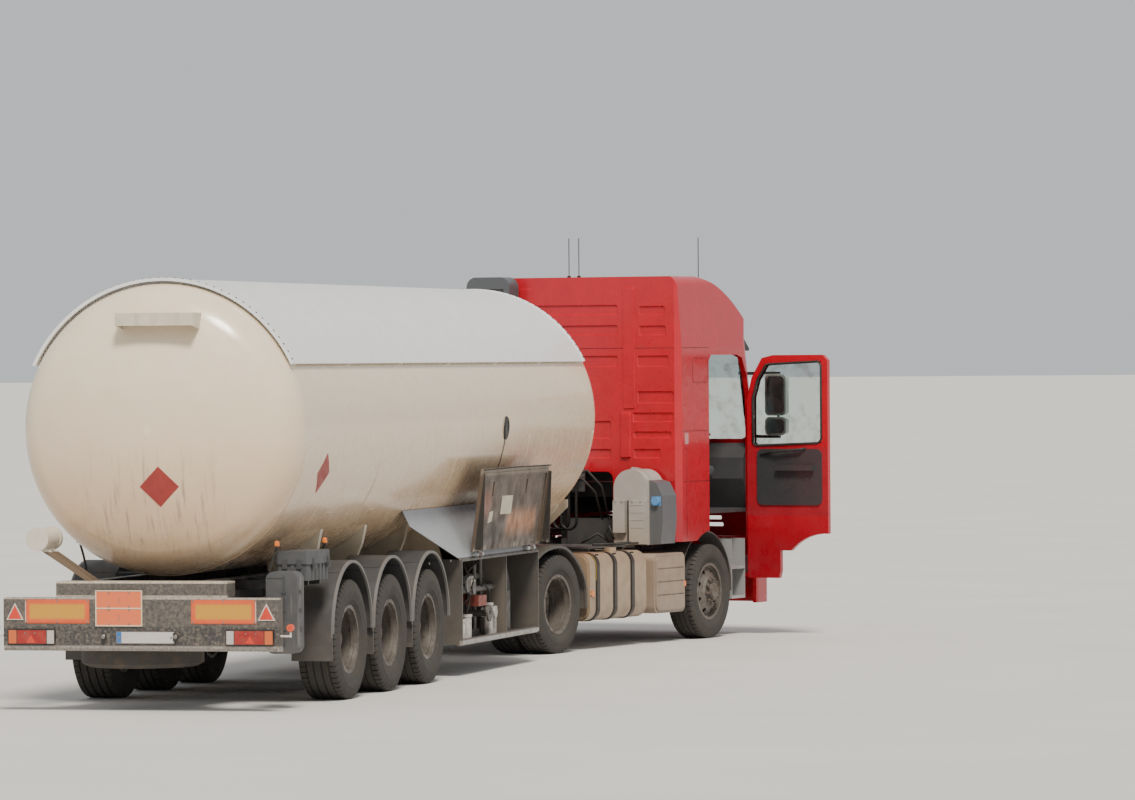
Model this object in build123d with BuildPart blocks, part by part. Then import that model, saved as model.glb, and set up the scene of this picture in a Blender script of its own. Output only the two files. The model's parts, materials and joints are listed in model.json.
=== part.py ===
from build123d import *

import os
from math import asin, cos, degrees, radians, sin, sqrt

os.makedirs("parts", exist_ok=True)

# An articulated tank lorry for liquefied gas, in millimetres, +X forward, +Y left, +Z up.
# The semi-trailer is built from the ground under its rearmost axle. The tractor is built
# straight, from the ground under its drive axle, and then turned about the kingpin.

# Trailer: running gear
AXLE_SPACING = 1310
AXLE_COUNT = 3
TRAILER_TYRE_RADIUS = 535
TRAILER_TYRE_WIDTH = 385
TRAILER_OUTER_FACE = 1245
SPINDLE_RADIUS = 50
SPINDLE_FIT = 0.3
AXLE_TUBE_RADIUS = 63
RUNNING_GAP = 5

# Trailer: tank and sun shield
TANK_RADIUS = 1275
TANK_CLEAR = 25
TANK_REAR = -1500
TANK_FRONT = 8850
HEAD_DEPTH = 600
HEAD_KNUCKLE = 393
SHIELD_GAP = 26
SHIELD_SHEET = 10
SHIELD_RISE = 560
SHIELD_OVERHANG = 60
HOOP_WIDTH = 50
HOOP_COUNT = 7
SEAT_GAP = 0.3
BAND_WIDTH = 46
BAND_PROUD = 9
BRACKET_Y = (-433, 271)
BRACKET_RISE = (840, 1010)
BRACKET_REACH = 590

# Trailer: frame and running gear
BEAM_TOP = 1130
BEAM_DEPTH = 230
BEAM_Y = 520
BEAM_FLANGE = 120
BEAM_PLATE = 12
BEAM_REAR = -2000
BEAM_FRONT = 3640
SPARE_X = -1545
SPARE_Y = 215
SPARE_LOW = 365
CROSS_X = (-1850, SPARE_X, -655, 655, 1965, 3200)
CROSS_WIDTH = 90
CROSS_DEPTH = 110
AIR_TANK_X = 2300
AIR_TANK_Y = 180
AIR_TANK_DROP = 110
AIR_TANK_RADIUS = 123
AIR_TANK_LENGTH = 760
AIR_STRAP = 40
SADDLE_X = (270, 1700, 3150)
SADDLE_THICKNESS = 70
SADDLE_IN = 380
SADDLE_OUT = 880
SADDLE_EDGE = ((775, 1169), (845, 1335))
SADDLE_RISE = 430
SADDLE_LIP = 60
ARM_WIDTH = 80
CHEEK_PLATE = 14
HANGER_AHEAD = 470
HANGER_DROP = 210
HANGER_HALF = 60
BAG_BEHIND = 360
BAG_RADIUS = 140
BAG_CORE = 110
BAG_RING = 110
DRUM_RADIUS = 205
DRUM_SHEET = 22
CHAMBER_Y = 330
CHAMBER_RADIUS = 82
CHAMBER_LENGTH = 190

# Trailer: mudguards
GUARD_RADIUS = 640
GUARD_CENTRE = 600
GUARD_SHEET = 12
GUARD_LIP = 24
GUARD_LIP_WIDTH = 22
GUARD_OUT = 1250
GUARD_IN = 850
GUARD_LEG = 610
GUARD_STAY = 30
GUARD_STAY_AT = 330
GUARD_STAY_DEPTH = 14
FLAP_BOTTOM = 370
FLAP_THICKNESS = 14
FLAP_MARGIN = 12

# Trailer: pump cabinet, its flap and the locker opposite
CABINET_REAR = 3720
CABINET_FRONT = 6640
CABINET_FLOOR = 310
CABINET_TOP = 1120
CABINET_OUT = 1245
CABINET_IN = 470
CABINET_WALL = 22
APRON_REAR = 2560
APRON_SHEET = 6
APRON_RISE = 490
APRON_SETBACK = 20
FOOT_TUBE = 32
FOOT_TUBE_SETBACK = 37
HANGER_X = (3760, 5180, 6600)
HANGER_PLATE = 12
HANGER_Y = (480, 1040)
HINGE_RISE = 30
FLAP_REAR = 3990
FLAP_FRONT = 6560
FLAP_HEIGHT = 830
FLAP_SHEET = 18
FLAP_FLANGE_TOP = 40
FLAP_FLANGE_FOOT = 110
FLAP_FLANGE_START = 60
FLAP_FLANGE_END = 770
FLAP_LEAN = 8
FLAP_GAP = 6
FLAP_START = 36
FLAP_SLOT_X = (4480, 5750)
FLAP_SLOT_Z = (560, 700)
FLAP_SLOT_WIDTH = 46
HINGE_INSET = 300
HINGE_LENGTH = 120
HINGE_BARREL = 20
HINGE_PIN = 9
HINGE_FIT = 0.1
LOCKER_LENGTH = 1500
LOCKER_FLOOR = 420

# Trailer: delivery flange of the pump set
DELIVERY_FACE = -1190
DELIVERY_BORE = 27
DELIVERY_DEPTH = 120
FLANGE_RADIUS = 82.5
FLANGE_PITCH = 62.5
FLANGE_THICKNESS = 20
FLANGE_BOLTS = 4
FLANGE_HOLE = 9

# Trailer: front end
KINGPIN_X = 9250
KINGPIN_RADIUS = 25.4
KINGPIN_LENGTH = 84
KINGPIN_FIT = 0.1
SKID_HEIGHT = 1135
SKID_PLATE = 14
SKID_HALF_WIDTH = 540
SKID_REAR = 8050
SKID_FRONT = 9800
BOLSTER_X = (8050, 8750, 9190)
BOLSTER_PLATE = 24
BOLSTER_OUT = 900
LEG_X = 6900
LEG_Y = 760
LEG_BOTTOM = 430
LEG_TUBE = 110
LEG_INNER = 90
LEG_SPLIT = 620
LEG_FOOT = 130

# Trailer: rear end
BUMPER_REAR = -2270
BUMPER_DEPTH = 130
BUMPER_SHEET = 8
BUMPER_HALF = 1240
BUMPER_LOW = 530
BUMPER_HIGH = 990
BUMPER_LIP = 45
LAMP_Y = (765, 1205)
LAMP_Z = (580, 722)
LAMP_PROUD = 14
REAR_BOX_TOP = 1128
REAR_BOX_HALF = 770
REFLECTOR_Y = (460, 1042)
REFLECTOR_Z = (768, 974)
HAZARD_Y = (-20, 402)
HAZARD_Z = (745, 1055)
PLATE_Y = (-313, 220)
PLATE_Z = (593, 704)
BOARD = 4
TOOLBOX_X = (-1290, -690)
TOOLBOX_Y = (-1225, -925)
TOOLBOX_Z = (1103, 1362)
TOOLBOX_LID = 115
TOOLBOX_RIB = 24
ARM_X = (-1180, -820)
BOTTLE_BOX_X = (-1790, -1590)
BOTTLE_BOX_Y = (-1265, -982)
BOTTLE_BOX_Z = (490, 1200)
BOTTLE_BOX_CORNER = 70
TUBE_X = (-2190, -1790)
TUBE_Y = 960
TUBE_Z = 1490
TUBE_RADIUS = 95
# Tractor: running gear
REST_ARTICULATION = -12.8
FIFTH_WHEEL_LEAD = 709
WHEELBASE = 3620
ENGINE_HALF = 308
TYRE_RADIUS = 507
TYRE_WIDTH = 312
TWIN_SPACING = 344
DRIVE_OUTER_FACE = 1233
FRONT_OUTER_FACE = 1220
KNUCKLE_Y = 850
RAIL_Y = 385
RAIL_TOP = 930
RAIL_DEPTH = 260
RAIL_FLANGE = 75
RAIL_PLATE = 10
RAIL_REAR = -760
RAIL_FRONT = WHEELBASE + 1100
FUEL_TANK_Y = (-1220, -540)
FUEL_TANK_Z = (300, 1000)
FUEL_TANK_CORNER = 130
STRAP_X = (887, 1291, 1700)
STRAP_HALF = 26
SIDE_BOX_X = (WHEELBASE - 1410, WHEELBASE - 665)
SIDE_BOX_Z = (320, 950)
SIDE_BOX_OUT = 1220
SIDE_BOX_IN = 520
FUEL_TANK_X = (680, SIDE_BOX_X[0] - 165)

# Tractor: cab
CAB_REAR = WHEELBASE - 760
CAB_FRONT = WHEELBASE + 1465
SCREEN_FOOT = (WHEELBASE + 1390, 2080)
SCREEN_HEAD = (WHEELBASE + 1115, 3215)
ROOF_BEND = WHEELBASE - 170
CAB_HALF = 1220
CAB_LOW = 1060
CAB_TOP = 3895
CAB_WALL = 55
ROOF_SEAM = 3130
ROOF_CORNER = 120
ROOF_LEAN = 40
ROOF_CROWN = 8
FRONT_CORNER = 220
REAR_CORNER = 60
FRONT_BOW = 70
FRONT_SEAM = WHEELBASE + 1020
DOOR_HINGE_X = WHEELBASE + 980
DOOR_REAR = WHEELBASE - 30
DOOR_TOP = 3045
DOOR_LOW = 620
DOOR_GAP = 8
DOOR_OPEN = 85
DOOR_HINGE_Z = (1450, 2350)
DOOR_CLEARANCE = 8
DOOR_BARREL = 16
DOOR_PIN = 8
FRONT_ARCH = 655
DOOR_ARCH = 600
FLOOR_HEIGHT = 1340
FLOOR_PLATE = 40
TUNNEL_HALF = 460
TUNNEL_HIGH = 1900
SEAT_Y = CAB_HALF - 460

TANK_HEIGHT = BEAM_TOP + TANK_CLEAR + TANK_RADIUS
FLAP_HINGE_HEIGHT = CABINET_TOP + HINGE_RISE

PIECES = []


def keep(part, label, frame):
    """Note a finished piece with its name and the frame that it stands in."""
    part.label = label
    PIECES.append((part, frame))


def block(x, y, z, mode=Mode.ADD):
    """A block between pairs of low and high values along each axis."""
    with Locations((sum(x) / 2, sum(y) / 2, sum(z) / 2)):
        Box(x[1] - x[0], y[1] - y[0], z[1] - z[0], mode=mode)


def about(middle, width):
    """The low and high value of a width about a middle."""
    return (middle - width / 2, middle + width / 2)


def rod(centre, radius, length, axis, mode=Mode.ADD):
    """A round bar about its centre, along one of the axes."""
    turn = {"x": (0, 90, 0), "y": (90, 0, 0), "z": (0, 0, 0)}[axis]
    with Locations(centre):
        Cylinder(radius, length, rotation=turn, mode=mode)


def patch(x, y):
    """A rectangle of a sketch between pairs of low and high values."""
    with Locations((sum(x) / 2, sum(y) / 2)):
        Rectangle(x[1] - x[0], y[1] - y[0])


def side_plane(y):
    """A plane of forward and up at a sideways place, whose extrusions grow to the right."""
    return Plane(origin=(0, y, 0), x_dir=(1, 0, 0), z_dir=(0, -1, 0))


def hub_plane(x, y, height, side):
    """A wheel's half section: outward along the axle, and out from it."""
    return Plane(origin=(x, y, height), x_dir=(0, side, 0), z_dir=(side, 0, 0))


# The tank is a cylinder with torispherical heads
crown_radius = (HEAD_DEPTH**2 + (TANK_RADIUS - HEAD_KNUCKLE) ** 2 - HEAD_KNUCKLE**2) / (
    2 * (HEAD_DEPTH - HEAD_KNUCKLE)
)
crown_reach = crown_radius - HEAD_DEPTH
knuckle_end = (
    HEAD_KNUCKLE * crown_reach / (crown_radius - HEAD_KNUCKLE),
    (TANK_RADIUS - HEAD_KNUCKLE) * crown_radius / (crown_radius - HEAD_KNUCKLE),
)


def tank_block(growth):
    """The tank's outer form, grown by a distance on all sides."""
    tangent = knuckle_end[0] * (HEAD_KNUCKLE + growth) / HEAD_KNUCKLE
    rise = TANK_RADIUS - HEAD_KNUCKLE + (knuckle_end[1] - TANK_RADIUS + HEAD_KNUCKLE) * (
        HEAD_KNUCKLE + growth
    ) / HEAD_KNUCKLE
    with BuildPart() as form:
        with BuildSketch(Plane.XZ):
            with BuildLine():
                top = TANK_RADIUS + growth
                Line((TANK_REAR, top), (TANK_FRONT, top))
                RadiusArc((TANK_FRONT, top), (TANK_FRONT + tangent, rise), HEAD_KNUCKLE + growth)
                RadiusArc(
                    (TANK_FRONT + tangent, rise),
                    (TANK_FRONT + HEAD_DEPTH + growth, 0),
                    crown_radius + growth,
                )
                Line((TANK_FRONT + HEAD_DEPTH + growth, 0), (TANK_REAR - HEAD_DEPTH - growth, 0))
                RadiusArc(
                    (TANK_REAR - HEAD_DEPTH - growth, 0),
                    (TANK_REAR - tangent, rise),
                    crown_radius + growth,
                )
                RadiusArc((TANK_REAR - tangent, rise), (TANK_REAR, top), HEAD_KNUCKLE + growth)
            make_face()
        revolve(axis=Axis.X)
    return form.part.moved(Location((0, 0, TANK_HEIGHT)))


def tank_side(height):
    """How far the tank reaches sideways at a height."""
    return sqrt(TANK_RADIUS**2 - (height - TANK_HEIGHT) ** 2)


with BuildPart() as tank_shell:
    add(tank_block(0))
keep(tank_shell.part, "tank_shell", "trailer")

# The sun shield is a sheet over the upper half, held off by hoops
shield_in = TANK_RADIUS + SHIELD_GAP
shield_out = shield_in + SHIELD_SHEET
shield_edge = degrees(asin(SHIELD_RISE / shield_in))
shield_rear = TANK_REAR - SHIELD_OVERHANG
shield_front = TANK_FRONT - SHIELD_OVERHANG
hoop_pitch = (shield_front - TANK_REAR - HOOP_WIDTH) / (HOOP_COUNT - 1)


def arch_band(x, width, inner, outer, edge):
    """A band over the tank from one edge angle to the other."""
    with BuildSketch(Plane.YZ.offset(x)) as band:
        with BuildLine():
            arc_out = CenterArc((0, TANK_HEIGHT), outer, edge, 180 - 2 * edge)
            arc_in = CenterArc((0, TANK_HEIGHT), inner, edge, 180 - 2 * edge)
            Line(arc_out @ 0, arc_in @ 0)
            Line(arc_out @ 1, arc_in @ 1)
        make_face()
    extrude(band.sketch, amount=width)


with BuildPart() as sun_shield:
    arch_band(shield_rear, shield_front - shield_rear, shield_in, shield_out, shield_edge)
    for hoop in range(HOOP_COUNT):
        arch_band(TANK_REAR + hoop * hoop_pitch, HOOP_WIDTH, TANK_RADIUS + SEAT_GAP, shield_in, shield_edge)
    for start in (shield_rear - BAND_WIDTH, shield_front):
        arch_band(start, BAND_WIDTH, shield_in - BAND_PROUD, shield_out + BAND_PROUD, shield_edge)
keep(sun_shield.part, "sun_shield", "trailer")

# Two beams carry the tank's rear over the axles, with crossmembers, air tanks and the toolbox's arms
beam_low = BEAM_TOP - BEAM_DEPTH
beam_edge = BEAM_Y + BEAM_FLANGE / 2
cross_low = beam_low + 30

with BuildPart() as trailer_frame:
    for side in (-1, 1):
        y = side * BEAM_Y
        x = (BEAM_REAR, BEAM_FRONT)
        block(x, (y - BEAM_FLANGE / 2, y + BEAM_FLANGE / 2), (BEAM_TOP - BEAM_PLATE, BEAM_TOP))
        block(x, (y - BEAM_FLANGE / 2, y + BEAM_FLANGE / 2), (beam_low, beam_low + BEAM_PLATE))
        block(x, (y - BEAM_PLATE / 2, y + BEAM_PLATE / 2), (beam_low, BEAM_TOP))
    for x in CROSS_X:
        block(about(x, CROSS_WIDTH), (-BEAM_Y, BEAM_Y), (cross_low, cross_low + CROSS_DEPTH))
    for y in (-AIR_TANK_Y, AIR_TANK_Y):
        rod((AIR_TANK_X, y, beam_low - AIR_TANK_DROP), AIR_TANK_RADIUS, AIR_TANK_LENGTH, "x")
        strap_z = (beam_low - AIR_TANK_DROP, cross_low + AIR_STRAP)
        block(about(AIR_TANK_X, AIR_STRAP), about(y, AIR_STRAP), strap_z)
    block(about(AIR_TANK_X, AIR_STRAP), (-BEAM_Y, BEAM_Y), (cross_low, cross_low + AIR_STRAP))
    for x in ARM_X:
        with BuildSketch(Plane.YZ.offset(x - AIR_STRAP / 2)):
            with BuildLine():
                Polyline(
                    (-BEAM_Y, BEAM_TOP - BEAM_PLATE),
                    (-beam_edge - SEAT_GAP, BEAM_TOP - BEAM_PLATE),
                    (-beam_edge - SEAT_GAP, TOOLBOX_Z[0]),
                    (TOOLBOX_Y[0] + AIR_STRAP, TOOLBOX_Z[0]),
                    (TOOLBOX_Y[0] + AIR_STRAP, TOOLBOX_Z[0] - AIR_STRAP),
                    (-BEAM_Y, beam_low + BEAM_DEPTH / 2),
                    close=True,
                )
            make_face()
        extrude(amount=AIR_STRAP)
keep(trailer_frame.part, "trailer_frame", "trailer")

# Air-sprung axles: tube, spindles, trailing arms on hanger plates, air bags and brake chambers
hub_reach = TRAILER_OUTER_FACE - TRAILER_TYRE_WIDTH / 2
HUB_IN = -190
HUB_OUT = 55
SPINDLE_END = -62
hanger_pivot = beam_low - HANGER_DROP
arm_top = TRAILER_TYRE_RADIUS + AXLE_TUBE_RADIUS
arm_low = TRAILER_TYRE_RADIUS - AXLE_TUBE_RADIUS - 32

with BuildPart() as trailer_axles:
    for axle in range(AXLE_COUNT):
        x = axle * AXLE_SPACING
        tube_end = hub_reach + HUB_IN - RUNNING_GAP
        rod((x, 0, TRAILER_TYRE_RADIUS), AXLE_TUBE_RADIUS, 2 * tube_end, "y")
        rod((x, 0, TRAILER_TYRE_RADIUS), SPINDLE_RADIUS, 2 * (hub_reach + SPINDLE_END), "y")
        for side in (-1, 1):
            y = side * BEAM_Y
            with BuildSketch(side_plane(y + ARM_WIDTH / 2)):
                with BuildLine():
                    eye = ThreePointArc(
                        (x + HANGER_AHEAD, hanger_pivot + 48),
                        (x + HANGER_AHEAD + 48, hanger_pivot),
                        (x + HANGER_AHEAD, hanger_pivot - 48),
                    )
                    Polyline(
                        eye @ 1,
                        (x + 90, arm_low),
                        (x - 90, arm_low),
                        (x - BAG_BEHIND - BAG_CORE, TRAILER_TYRE_RADIUS - 20),
                        (x - BAG_BEHIND - BAG_CORE, TRAILER_TYRE_RADIUS + 20),
                        (x - 120, arm_top),
                        (x + 120, arm_top),
                        eye @ 0,
                    )
                make_face()
            extrude(amount=ARM_WIDTH)
            bag_low = TRAILER_TYRE_RADIUS + 18
            bag_height = beam_low - bag_low
            rod((x - BAG_BEHIND, y, bag_low + bag_height / 2), BAG_CORE, bag_height, "z")
            for share in (0.3, 0.72):
                rod((x - BAG_BEHIND, y, bag_low + share * bag_height), BAG_RADIUS, BAG_RING, "z")
            for cheek in (-1, 1):
                faces = (y + cheek * ARM_WIDTH / 2, y + cheek * (ARM_WIDTH / 2 + CHEEK_PLATE))
                with BuildSketch(side_plane(max(faces))):
                    Polygon(
                        (x + HANGER_AHEAD - 2 * HANGER_HALF, beam_low),
                        (x + HANGER_AHEAD - HANGER_HALF, hanger_pivot - HANGER_HALF),
                        (x + HANGER_AHEAD + HANGER_HALF, hanger_pivot - HANGER_HALF),
                        (x + HANGER_AHEAD + 2 * HANGER_HALF, beam_low),
                        align=None,
                    )
                extrude(amount=CHEEK_PLATE)
            chamber_x = x - AXLE_TUBE_RADIUS - CHAMBER_LENGTH / 2
            rod((chamber_x, side * CHAMBER_Y, TRAILER_TYRE_RADIUS), CHAMBER_RADIUS, CHAMBER_LENGTH, "x")
            rod((x - AXLE_TUBE_RADIUS, side * CHAMBER_Y, TRAILER_TYRE_RADIUS), CHAMBER_RADIUS / 2, 60, "x")
keep(trailer_axles.part, "trailer_axles", "trailer")

# One arch over each trailer wheel, with a thick outer lip, a rubber flap and stays on the beam
GUARD_LEVELS = ((GUARD_IN, GUARD_OUT, GUARD_SHEET), (GUARD_OUT - GUARD_LIP_WIDTH, GUARD_OUT, GUARD_LIP))

with BuildPart() as trailer_mudguards:
    for side in (-1, 1):
        for axle in range(AXLE_COUNT):
            x = axle * AXLE_SPACING
            for near, far, sheet in GUARD_LEVELS:
                with BuildSketch(side_plane(max(side * near, side * far))):
                    for radius, mode in ((GUARD_RADIUS, Mode.ADD), (GUARD_RADIUS - sheet, Mode.SUBTRACT)):
                        with Locations((x, GUARD_CENTRE)):
                            Circle(radius, mode=mode)
                    with Locations((x, GUARD_LEG - GUARD_RADIUS)):
                        Rectangle(3 * GUARD_RADIUS, 2 * GUARD_RADIUS, mode=Mode.SUBTRACT)
                extrude(amount=far - near)
            for lean in (-GUARD_STAY_AT, GUARD_STAY_AT):
                y = sorted((side * BEAM_Y, side * (GUARD_OUT - GUARD_STAY)))
                block(about(x + lean, GUARD_STAY), y, (BEAM_TOP, BEAM_TOP + GUARD_STAY_DEPTH))
            y = sorted((side * (GUARD_OUT - FLAP_MARGIN), side * (GUARD_IN + FLAP_MARGIN)))
            block((x - GUARD_RADIUS, x - GUARD_RADIUS + FLAP_THICKNESS), y, (FLAP_BOTTOM, GUARD_LEG))
keep(trailer_mudguards.part, "trailer_mudguards", "trailer")

# The flap hangs from two pins along the cabinet's upper edge and is folded up, so its inside shows
flap_pin_y = -(CABINET_OUT + FLAP_SHEET / 2 + FLAP_GAP)
FLAP_HINGE_X = (FLAP_REAR + HINGE_INSET, FLAP_FRONT - HINGE_INSET)
flap_place = Location((0, flap_pin_y, FLAP_HINGE_HEIGHT), (FLAP_LEAN, 0, 0))

# Pump cabinet on the right: open towards the outside, with an apron up to the tank and a foot tube
cabinet_y = (-CABINET_OUT, -CABINET_IN)
apron_foot = CABINET_OUT - APRON_SETBACK
apron_top = CABINET_TOP + APRON_RISE
apron_slope = (0, apron_foot - tank_side(apron_top) - APRON_SHEET, APRON_RISE)
apron_length = sqrt(apron_slope[1] ** 2 + apron_slope[2] ** 2)
PARTITION_X = 5480
PARTITION_SETBACK = 25

with BuildPart() as pump_cabinet:
    block((CABINET_REAR, CABINET_FRONT), cabinet_y, (CABINET_FLOOR, CABINET_TOP))
    for x in ((CABINET_REAR, PARTITION_X), (PARTITION_X - CABINET_WALL, CABINET_FRONT)):
        block(
            (x[0] + CABINET_WALL, x[1] - CABINET_WALL),
            (-CABINET_OUT - 1, -CABINET_IN - CABINET_WALL),
            (CABINET_FLOOR + CABINET_WALL, CABINET_TOP - CABINET_WALL),
            mode=Mode.SUBTRACT,
        )
    block(
        (PARTITION_X - CABINET_WALL - 1, PARTITION_X + 1),
        (-CABINET_OUT - 1, -CABINET_OUT + PARTITION_SETBACK),
        (CABINET_FLOOR + CABINET_WALL, CABINET_TOP - CABINET_WALL),
        mode=Mode.SUBTRACT,
    )
    foot_y = -CABINET_OUT + FOOT_TUBE_SETBACK
    foot_z = CABINET_FLOOR + FOOT_TUBE / 2
    foot = ((CABINET_REAR + CABINET_FRONT) / 2, foot_y, foot_z)
    rod(foot, FOOT_TUBE, CABINET_FRONT - CABINET_REAR, "x")
    apron_normal = (0, -APRON_RISE, apron_slope[1])
    with BuildSketch(Plane((0, -apron_foot, CABINET_TOP), x_dir=(1, 0, 0), z_dir=apron_normal)):
        Polygon(
            (CABINET_REAR, -APRON_SHEET),
            (APRON_REAR, 0.7 * apron_length),
            (APRON_REAR, apron_length),
            (CABINET_FRONT, apron_length),
            (CABINET_FRONT, -APRON_SHEET),
            align=None,
        )
    extrude(amount=APRON_SHEET)
    for x in FLAP_HINGE_X:
        rod((x, flap_pin_y, FLAP_HINGE_HEIGHT), HINGE_PIN, 2 * HINGE_LENGTH + 10, "x")
        for cheek in (-95, 95):
            rod((x + cheek, flap_pin_y, FLAP_HINGE_HEIGHT), HINGE_BARREL, 40, "x")
            block(about(x + cheek, 40), (flap_pin_y, -apron_foot), (CABINET_TOP - 1, FLAP_HINGE_HEIGHT + 8))
keep(pump_cabinet.part, "pump_cabinet", "trailer")

# Pump with its finned motor, filter, gas meter, pipes with valves, control box and hose reel
pump_x = CABINET_REAR + 900
pump_y = -820
pump_floor = CABINET_FLOOR + CABINET_WALL
roof_under = CABINET_TOP - CABINET_WALL
delivery_x = pump_x + 330
PUMP_AXIS = 560
PUMP_RADIUS = 120
MOTOR_RADIUS = 88
MOTOR_FINS = 9
FIN_RADIUS = 104
FIN_PITCH = 34
SUCTION_RADIUS = 45
RAIL_PIPE = 905
# Valves: forward place, sideways place, height, radius of the handwheel
VALVES = ((3880, -1080, 800, 75), (4180, -1080, 860, 75), (4480, -1060, 820, 65), (5200, -1080, PUMP_AXIS, 60))
VALVE_BODY = 48
VALVE_STEM = 14
# Upright cylinders of filters and regulators: forward place, sideways place, radius, low end, high end
CANS = (
    (4120, -1100, 62, pump_floor, 520),
    (4330, -1120, 48, pump_floor, 560),
    (5150, -1120, 42, pump_floor, 640),
    (5290, -1120, 42, pump_floor, 600),
)
# Pipes along the bay: sideways place, height, radius, rear end, front end
RUNS = ((-1080, 800, 30, 3742, 5458), (-960, RAIL_PIPE, 38, 3742, 5458), (-900, 430, 44, 3742, 4400))
UPRIGHT_X = (3900, 4060, 5060, 5290)
UPRIGHT_Y = -1000
UPRIGHT_RADIUS = 22
DISC_X = 3860
REEL_AXIS = 700
REEL_Y = -830
REEL_CHEEK = 330
REEL_HALF = 170
REEL_TURNS = 6
REEL_HOSE = 50
reel_x = CABINET_FRONT - 560
with BuildPart() as pump_set:
    block((pump_x - 260, pump_x + 560), (-1020, -620), (pump_floor, CABINET_FLOOR + 90))
    rod((pump_x, pump_y, PUMP_AXIS), PUMP_RADIUS, 260, "x")
    rod((delivery_x + 30, pump_y, PUMP_AXIS), MOTOR_RADIUS, 380, "x")
    for fin in range(MOTOR_FINS):
        rod((delivery_x - 110 + FIN_PITCH * fin, pump_y, PUMP_AXIS), FIN_RADIUS, 12, "x")
    block((pump_x - 60, pump_x + 500), about(pump_y, 160), (CABINET_FLOOR + 80, PUMP_AXIS - 40))
    rod((pump_x, pump_y, (PUMP_AXIS + roof_under) / 2), SUCTION_RADIUS, roof_under - PUMP_AXIS, "z")
    outlet = (delivery_x, (DELIVERY_FACE + pump_y) / 2, PUMP_AXIS)
    rod(outlet, DELIVERY_BORE + 5, pump_y - DELIVERY_FACE, "y")
    face = (delivery_x, DELIVERY_FACE + FLANGE_THICKNESS / 2, PUMP_AXIS)
    rod(face, FLANGE_RADIUS, FLANGE_THICKNESS, "y")
    bore = (delivery_x, DELIVERY_FACE + DELIVERY_DEPTH / 2, PUMP_AXIS)
    rod(bore, DELIVERY_BORE, DELIVERY_DEPTH, "y", mode=Mode.SUBTRACT)
    for turn in range(FLANGE_BOLTS):
        angle = radians(360 * (turn + 0.5) / FLANGE_BOLTS)
        bolt = (delivery_x + FLANGE_PITCH * cos(angle), PUMP_AXIS + FLANGE_PITCH * sin(angle))
        hole = (bolt[0], DELIVERY_FACE + FLANGE_THICKNESS / 2, bolt[1])
        rod(hole, FLANGE_HOLE, FLANGE_THICKNESS + 1, "y", mode=Mode.SUBTRACT)
    for y, z, radius, rear, front in RUNS:
        rod(((rear + front) / 2, y, z), radius, front - rear, "x")
    for x, y, z, wheel in VALVES:
        rod((x, y, z), VALVE_BODY, 130, "x")
        rod((x, y - 50, z), VALVE_STEM, 100, "y")
        rod((x, y - 95, z), wheel, 16, "y")
    for x, y, radius, low, high in CANS:
        rod((x, y, (low + high) / 2), radius, high - low, "z")
        rod((x, y, high), radius + 8, 24, "z")
    for x in UPRIGHT_X:
        rod((x, UPRIGHT_Y, (pump_floor + roof_under) / 2), UPRIGHT_RADIUS, roof_under - pump_floor, "z")
    rod((DISC_X, -1120, 500), 92, 60, "y")
    rod((DISC_X, -1090, 500), 55, 140, "y")
    rod((DISC_X, -1030, (pump_floor + RAIL_PIPE) / 2), 40, RAIL_PIPE - pump_floor, "z")
    block((4560, 4860), (-1180, -1060), (640, 740))
    block((4600, 4820), (-1060, -940), (660, RAIL_PIPE + 20))
    block((5120, PARTITION_X - 40), (-900, -560), (pump_floor, 900))
    for cheek in (-1, 1):
        rod((reel_x, REEL_Y + cheek * REEL_HALF, REEL_AXIS), REEL_CHEEK, 14, "y")
    rod((reel_x, REEL_Y, REEL_AXIS), 120, 2 * REEL_HALF + 20, "y")
    for turn in range(REEL_TURNS):
        middle = REEL_Y + (turn - (REEL_TURNS - 1) / 2) * REEL_HOSE
        rod((reel_x, middle, REEL_AXIS), 250, REEL_HOSE - 6, "y")
    for side in (-1, 1):
        block(about(reel_x, 120), about(REEL_Y + side * 225, 50), (pump_floor, REEL_AXIS + 30))
    rod((reel_x, REEL_Y, REEL_AXIS), 25, 480, "y")
keep(pump_set.part, "pump_set", "trailer")

with BuildPart() as flap_flat:
    block((FLAP_REAR, FLAP_FRONT), about(0, FLAP_SHEET), (FLAP_START, FLAP_HEIGHT))
    for x in (FLAP_REAR, FLAP_FRONT - FLAP_SHEET):
        with BuildSketch(Plane.YZ.offset(x)):
            Polygon(
                (0, FLAP_FLANGE_START),
                (-FLAP_FLANGE_FOOT, FLAP_FLANGE_START),
                (-FLAP_FLANGE_TOP, FLAP_FLANGE_END),
                (0, FLAP_FLANGE_END),
                align=None,
            )
        extrude(amount=FLAP_SHEET)
    for x in (FLAP_REAR + 60, FLAP_FRONT - 100):
        block((x, x + 40), (-FLAP_SHEET / 2 - 14, 0), (FLAP_FLANGE_START, FLAP_HEIGHT - 40))
    block((FLAP_REAR + 60, FLAP_FRONT - 60), (-FLAP_SHEET / 2 - 14, 0), (FLAP_HEIGHT - 80, FLAP_HEIGHT - 40))
    for x in FLAP_SLOT_X:
        block(about(x, FLAP_SLOT_WIDTH), (-FLAP_SHEET, FLAP_SHEET), FLAP_SLOT_Z, mode=Mode.SUBTRACT)
        frame_z = (FLAP_SLOT_Z[0] - 20, FLAP_SLOT_Z[1] + 20)
        block(about(x, 2 * FLAP_SLOT_WIDTH), (0, FLAP_SHEET / 2 + 12), frame_z)
    for x in FLAP_HINGE_X:
        block(about(x, HINGE_LENGTH), about(0, FLAP_SHEET), (0, FLAP_START + 5))
        rod((x, 0, 0), HINGE_BARREL, HINGE_LENGTH, "x")
        rod((x, 0, 0), HINGE_PIN + HINGE_FIT, HINGE_LENGTH + 10, "x", mode=Mode.SUBTRACT)
keep(flap_flat.part.moved(flap_place), "cabinet_flap", "trailer")

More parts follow.
